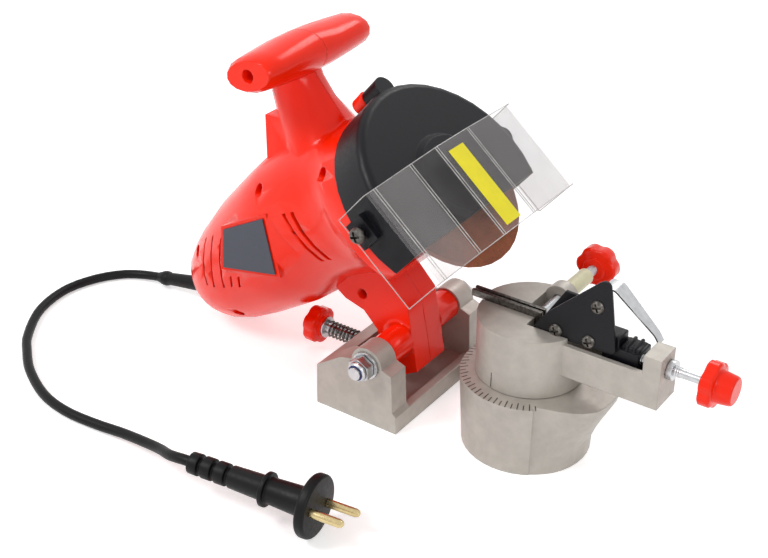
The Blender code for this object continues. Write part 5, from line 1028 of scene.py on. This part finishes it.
class SHARPENER_OT_shell(bpy.types.Operator):
    """Dress the moulded shell, its plate and the screws down its wells."""

    bl_idname = "sharpener.shell"
    bl_label = "Shell"

    def execute(self, context):
        span = SLEEVE_END_Y - SLEEVE_INNER_Y
        inner, outer = SLEEVE_RADIUS, SLEEVE_CUT
        walls = ((0, inner), (0, outer), (span, outer), (span, inner), (0, inner))
        lean = Matrix.Translation(LEG_FRONT_FOOT) @ Matrix.Rotation(-LEG_FRONT_LEAN, 4, "Y")
        for node, side in (("housing_near", -1), ("housing_far", 1)):
            # The leg's flat front runs over the hinge sleeve, which is slimmer beside the leg
            ring = turned(walls, (0, side * SLEEVE_INNER_Y, HINGE_HEIGHT), (0, side, 0))
            front = block((0, -SLEEVE_INNER_Y, 0), (outer, SLEEVE_INNER_Y, LEG_FRONT_HEIGHT))
            dressed(node, cuts=(ring, moved(front, lean)))
        dressed("label_plate")
        for name in ("tail_top", "tail_low", "barrel", "front", "leg"):
            screw_piece("housing_screw_" + name, -1, WELL_HEAD, WELL_HEAD_HEIGHT, WELL_SHANK)
        return {"FINISHED"}


class SHARPENER_OT_guard(bpy.types.Operator):
    """Dress the guard, the disc and what holds the disc."""

    bl_idname = "sharpener.guard"
    bl_label = "Guard and disc"

    def execute(self, context):
        out = (1, 0, 0)
        rear = block((GUARD_BOSS_REAR, -GUARD_BOSS_REACH, GUARD_TOP_T),
                     (GUARD_BOSS_CUT, GUARD_BOSS_REACH, 2 * GUARD_TOP_T))
        dressed("disc_guard", FULL_STEPS, cuts=(in_head(rear),))
        core = rod((GUARD_BOSS_REAR, 0, SPINDLE_T), out, GUARD_DEPTH, GUARD_CORE)
        ear = rod((EAR_S, EAR_Y, EAR_T), out, EAR_LENGTH, EAR_RADIUS, EAR_CHAMFER)
        piece("guard_far_ear", in_head(carved(ear, core)), "black_plastic", "head")
        boss = rod((BOSS_S, BOSS_Y, BOSS_T), out, BOSS_LENGTH, BOSS_RADIUS, BOSS_CHAMFER)
        piece("shell_boss", in_head(boss), "red_abs", "head")
        screw = cross_head((BOSS_S + BOSS_LENGTH, BOSS_Y, BOSS_T), out, GUARD_HEAD, WELL_HEAD_HEIGHT)
        piece("guard_screw", in_head(screw), "dark_steel", "head")
        for node in ("grinding_disc", "disc_flange_outer", "spindle_nut"):
            dressed(node)
        return {"FINISHED"}


class SHARPENER_OT_visor(bpy.types.Operator):
    """Dress the clear visor, its screws and the plain yellow strip on it."""

    bl_idname = "sharpener.visor"
    bl_label = "Visor"

    def execute(self, context):
        levels = (VISOR_BOTTOM, VISOR_TOP)
        sheet = folded([[(s, y, t) for t in levels] for s, y in VISOR_PATH],
                       VISOR_FOLD, VISOR_FOLD_STEPS, VISOR_THICKNESS)
        rounded(sheet, SHEET_EDGE, SMALL_STEPS, SHEET_SHARP_DEG)
        piece("visor_sheet", in_head(sheet), "clear_sheet", "visor", "visor")
        # Thin whitish bars down the folds and round the rims and ends: painted highlights where the folds
        # and edges catch the light
        marks = [y + offset for y in BEND_PLACES for offset in (-BEND_HALF, BEND_HALF)]
        outer = [(s + VISOR_THICKNESS * (abs(y) < FLAP_Y), y * (1 + RIM_SHARE * (abs(y) >= FLAP_Y)))
                 for s, y in VISOR_PATH]
        lines = [bar(*[(sheet_face(y), y, t) for t in levels], BEND_RADIUS) for y in marks]
        for t in levels:
            lines += [bar((*a, t), (*b, t), BEND_RADIUS) for a, b in zip(outer, outer[1:])]
        lines += [bar(*[(*end, t) for t in levels], BEND_RADIUS) for end in (outer[0], outer[-1])]
        piece("visor_fold_highlights", in_head(united(lines)), "clear_sheet", "visor", finish=painted_fold_highlight())
        low, high = STRIP_CORNERS
        strip = block((STRIP_S, *low), (STRIP_S + STRIP_THICKNESS, *high))
        film = yellow_film(context.scene.sharpener_colours.film)
        piece("visor_film", in_head(strip), "clear_sheet", "visor", finish=film)
        for node, side in (("visor_screw_near", -1), ("visor_screw_far", 1)):
            screw_piece(node, side, VISOR_HEAD, VISOR_HEAD_HEIGHT, VISOR_SHANK)
        return {"FINISHED"}


class SHARPENER_OT_switch(bpy.types.Operator):
    """Dress the switch on the back of the neck."""

    bl_idname = "sharpener.switch"
    bl_label = "Switch"

    def execute(self, context):
        dressed("switch_body")
        dressed("switch_rocker")
        return {"FINISHED"}


class SHARPENER_OT_base(bpy.types.Operator):
    """Dress the base casting, its hinge hardware and the vise's scale."""

    bl_idname = "sharpener.base"
    bl_label = "Base"

    def execute(self, context):
        dressed("base_casting", cuts=(wing_taper(-1), wing_taper(1)))
        for node in ("hinge_bolt", "hinge_washer", "hinge_lock_nut", "swivel_bolt"):
            dressed(node)
        low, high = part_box("nut_ring")
        for name, profile, slot, *nodes in (
                ("nylon_ring", NYLON_ROWS, "blue_nylon", "nut_ring"), ("nut_crown", CROWN_ROWS, "zinc")):
            rows = [(along * (high.y - low.y), reach * MM) for along, reach in profile]
            piece(name, turned(rows, (0, high.y, HINGE_HEIGHT), (0, -1, 0)), slot, "base", *nodes)
        step = context.scene.sharpener_sizes.tick_step
        ticks = []
        for i in range(TICK_COUNT):
            angle = math.radians(TICK_START_DEG) + i * step
            height = TICK_LONG if i % 2 == 0 else TICK_SHORT
            tick = block((-height, -TICK_WIDTH / 2, -TICK_PROUD), (0, TICK_WIDTH / 2, TICK_PROUD))
            turn = Matrix.Translation((VISE_X, VISE_Y, TICK_Z)) @ Matrix.Rotation(angle, 4, "Z")
            turn = turn @ Matrix.Translation((TICK_RADIUS, 0, 0)) @ Matrix.Rotation(TICK_LEAN, 4, "Y")
            ticks.append(moved(tick, turn))
        piece("scale_ticks", united(ticks), "dark_steel", "base")
        return {"FINISHED"}


class SHARPENER_OT_depth_stop(bpy.types.Operator):
    """Dress the depth stop: its threaded screw, spring, washer and knob."""

    bl_idname = "sharpener.depth_stop"
    bl_label = "Depth stop"

    def execute(self, context):
        thread_piece("depth_screw", (1, 0, 0))
        dressed("depth_spring")
        dressed("depth_washer")
        knob_piece("depth_knob", (-1, 0, 0), DEPTH_KNOB_SHARES)
        return {"FINISHED"}


class SHARPENER_OT_vise(bpy.types.Operator):
    """Dress the turntable, its rails and the clamp screw with its sleeve and knob."""

    bl_idname = "sharpener.vise"
    bl_label = "Vise"

    def execute(self, context):
        dressed("turntable")
        for node in ("rail_fixed", "rail_moving"):
            low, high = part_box(node)
            below = block((low.x - CLEAR, low.y - CLEAR, low.z - CLEAR),
                          (low.x + RAIL_FREE, high.y + CLEAR, high.z - RAIL_NOSE))
            dressed(node, cuts=(below,))
        mark = block((-MARK_WIDTH / 2, -MARK_PROUD, 0), (MARK_WIDTH / 2, 0, MARK_HEIGHT))
        turn = Matrix.Translation((VISE_X, VISE_Y, MARK_Z)) @ Matrix.Rotation(math.radians(MARK_DEG), 4, "Z")
        turn = turn @ Matrix.Translation((0, -MARK_RADIUS, 0))
        piece("swivel_mark", moved(mark, turn), "dark_steel", "vise")
        thread_piece("clamp_screw", (0, 1, 0))
        dressed("clamp_sleeve")
        knob_piece("clamp_knob", (0, 1, 0), CLAMP_KNOB_SHARES)
        return {"FINISHED"}


class SHARPENER_OT_chain_stop(bpy.types.Operator):
    """Dress the chain stop, its slider, strap and screws, and its adjusting screw."""

    bl_idname = "sharpener.chain_stop"
    bl_label = "Chain stop"

    def execute(self, context):
        low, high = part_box("stop_slider")
        blocks = []
        for x0, x1, y0, y1, z0, z1 in SLIDER_BLOCKS:
            bm = block((low.x + x0, low.y + y0, z0), (low.x + x1, low.y + y1, z1))
            blocks.append(rounded(bm, SLIDER_EDGE, FULL_STEPS))
        piece("stop_slider_block", united(blocks), "black_plastic", "slider", "stop_slider")
        low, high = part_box("chain_stop")
        near = block((low.x - CLEAR, low.y - CLEAR, low.z - CLEAR),
                     (high.x + CLEAR, low.y + STOP_PLATE + STOP_BEHIND, high.z + CLEAR))
        crown = prism(STOP_CROWN_CUT, low.y - CLEAR, high.y + CLEAR)
        dressed("chain_stop", cuts=(near, crown))
        plate = prism([(x, z) for x, z, reach in STOP_CORNERS], low.y, low.y + STOP_PLATE)
        for x, z, reach in STOP_CORNERS:
            corner = [edge for edge in plate.edges
                      if all(math.hypot(vert.co.x - x, vert.co.z - z) < STOP_NEAR for vert in edge.verts)]
            beveled(plate, corner, reach, CORNER_STEPS)
        piece("stop_plate", rounded(plate, PLATE_EDGE, FULL_STEPS), "black_plastic", "stop")
        strap = folded([((x, y, z), (x, STRAP_FAR_Y, z)) for x, z, y in STRAP_PATH],
                       STRAP_FOLD, STRAP_FOLD_STEPS, STRAP_THICKNESS)
        piece("stop_strap_bent", strap, "zinc", "stop", "stop_strap")
        pin_low, pin_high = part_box("stop_screw")
        middle = (pin_low + pin_high) / 2
        pin = rod((middle.x, low.y + PIN_SINK, middle.z), (0, 1, 0), high.y - low.y, STOP_SHANK)
        piece("stop_pivot_pin", pin, "dark_steel", NODE_BODY["stop_screw"], "stop_screw")
        head = context.scene.sharpener_sizes.screw_head
        for i, (x, z) in enumerate(STOP_SCREW_PLACES):
            screw = cross_head((x, low.y + HEAD_SINK, z), (0, -1, 0), head, STOP_HEAD_HEIGHT)
            piece(f"stop_plate_screw_{i + 1}", screw, "dark_steel", "stop")
        out = (1, 0, 0)
        low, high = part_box("adjust_screw")
        middle = (low + high) / 2
        rod_start = low.x + ADJUST_THREAD_LENGTH
        thread = threaded((low.x, middle.y, middle.z), out, ADJUST_THREAD_LENGTH, ADJUST_RADIUS)
        plain = rod((rod_start, middle.y, middle.z), out, high.x - rod_start, ADJUST_ROD)
        collar = rod((ADJUST_COLLAR_X, middle.y, middle.z), out, ADJUST_COLLAR, (high.y - low.y) / 2)
        piece("adjust_screw_thread", united([thread, plain, collar]), "zinc", "adjuster", "adjust_screw")
        knob_piece("adjust_knob", out, ADJUST_KNOB_SHARES)
        return {"FINISHED"}


class SHARPENER_OT_inside(bpy.types.Operator):
    """Finish the motor and the drive inside the shell."""

    bl_idname = "sharpener.inside"
    bl_label = "Inside"

    def execute(self, context):
        for node in INNER_NODES:
            refinish(frame["nodes"][node].data, NODE_SLOT[node])
        return {"FINISHED"}


OPERATORS = (
    SHARPENER_OT_stage, SHARPENER_OT_cord, SHARPENER_OT_shell, SHARPENER_OT_guard, SHARPENER_OT_visor,
    SHARPENER_OT_switch, SHARPENER_OT_base, SHARPENER_OT_depth_stop, SHARPENER_OT_vise,
    SHARPENER_OT_chain_stop, SHARPENER_OT_inside,
)


class SHARPENER_PT_looks(bpy.types.Panel):
    """Sizes, colours and the pieces in the order they are made."""

    bl_idname = "SHARPENER_PT_looks"
    bl_label = "Sharpener"
    bl_space_type = "VIEW_3D"
    bl_region_type = "UI"
    bl_category = "Sharpener"

    def draw(self, context):
        """Draw the panel."""
        for group in (context.scene.sharpener_sizes, context.scene.sharpener_colours):
            for name in group.__annotations__:
                self.layout.prop(group, name)
        for operator in OPERATORS:
            self.layout.operator(operator.bl_idname)


CLASSES = (SharpenerSizes, SharpenerColours, *OPERATORS, SHARPENER_PT_looks)


def register():
    """Register the classes and hang the settings on the scene."""
    for cls in CLASSES:
        bpy.utils.register_class(cls)
    bpy.types.Scene.sharpener_sizes = bpy.props.PointerProperty(type=SharpenerSizes)
    bpy.types.Scene.sharpener_colours = bpy.props.PointerProperty(type=SharpenerColours)


def unregister():
    """Take the settings and the classes away again."""
    del bpy.types.Scene.sharpener_colours
    del bpy.types.Scene.sharpener_sizes
    for cls in reversed(CLASSES):
        bpy.utils.unregister_class(cls)


def main():
    """Make every piece in order."""
    register()
    for operator in OPERATORS:
        maker = getattr(bpy.ops.sharpener, operator.bl_idname.split(".")[1])
        maker()


if __name__ == "__main__":
    main()
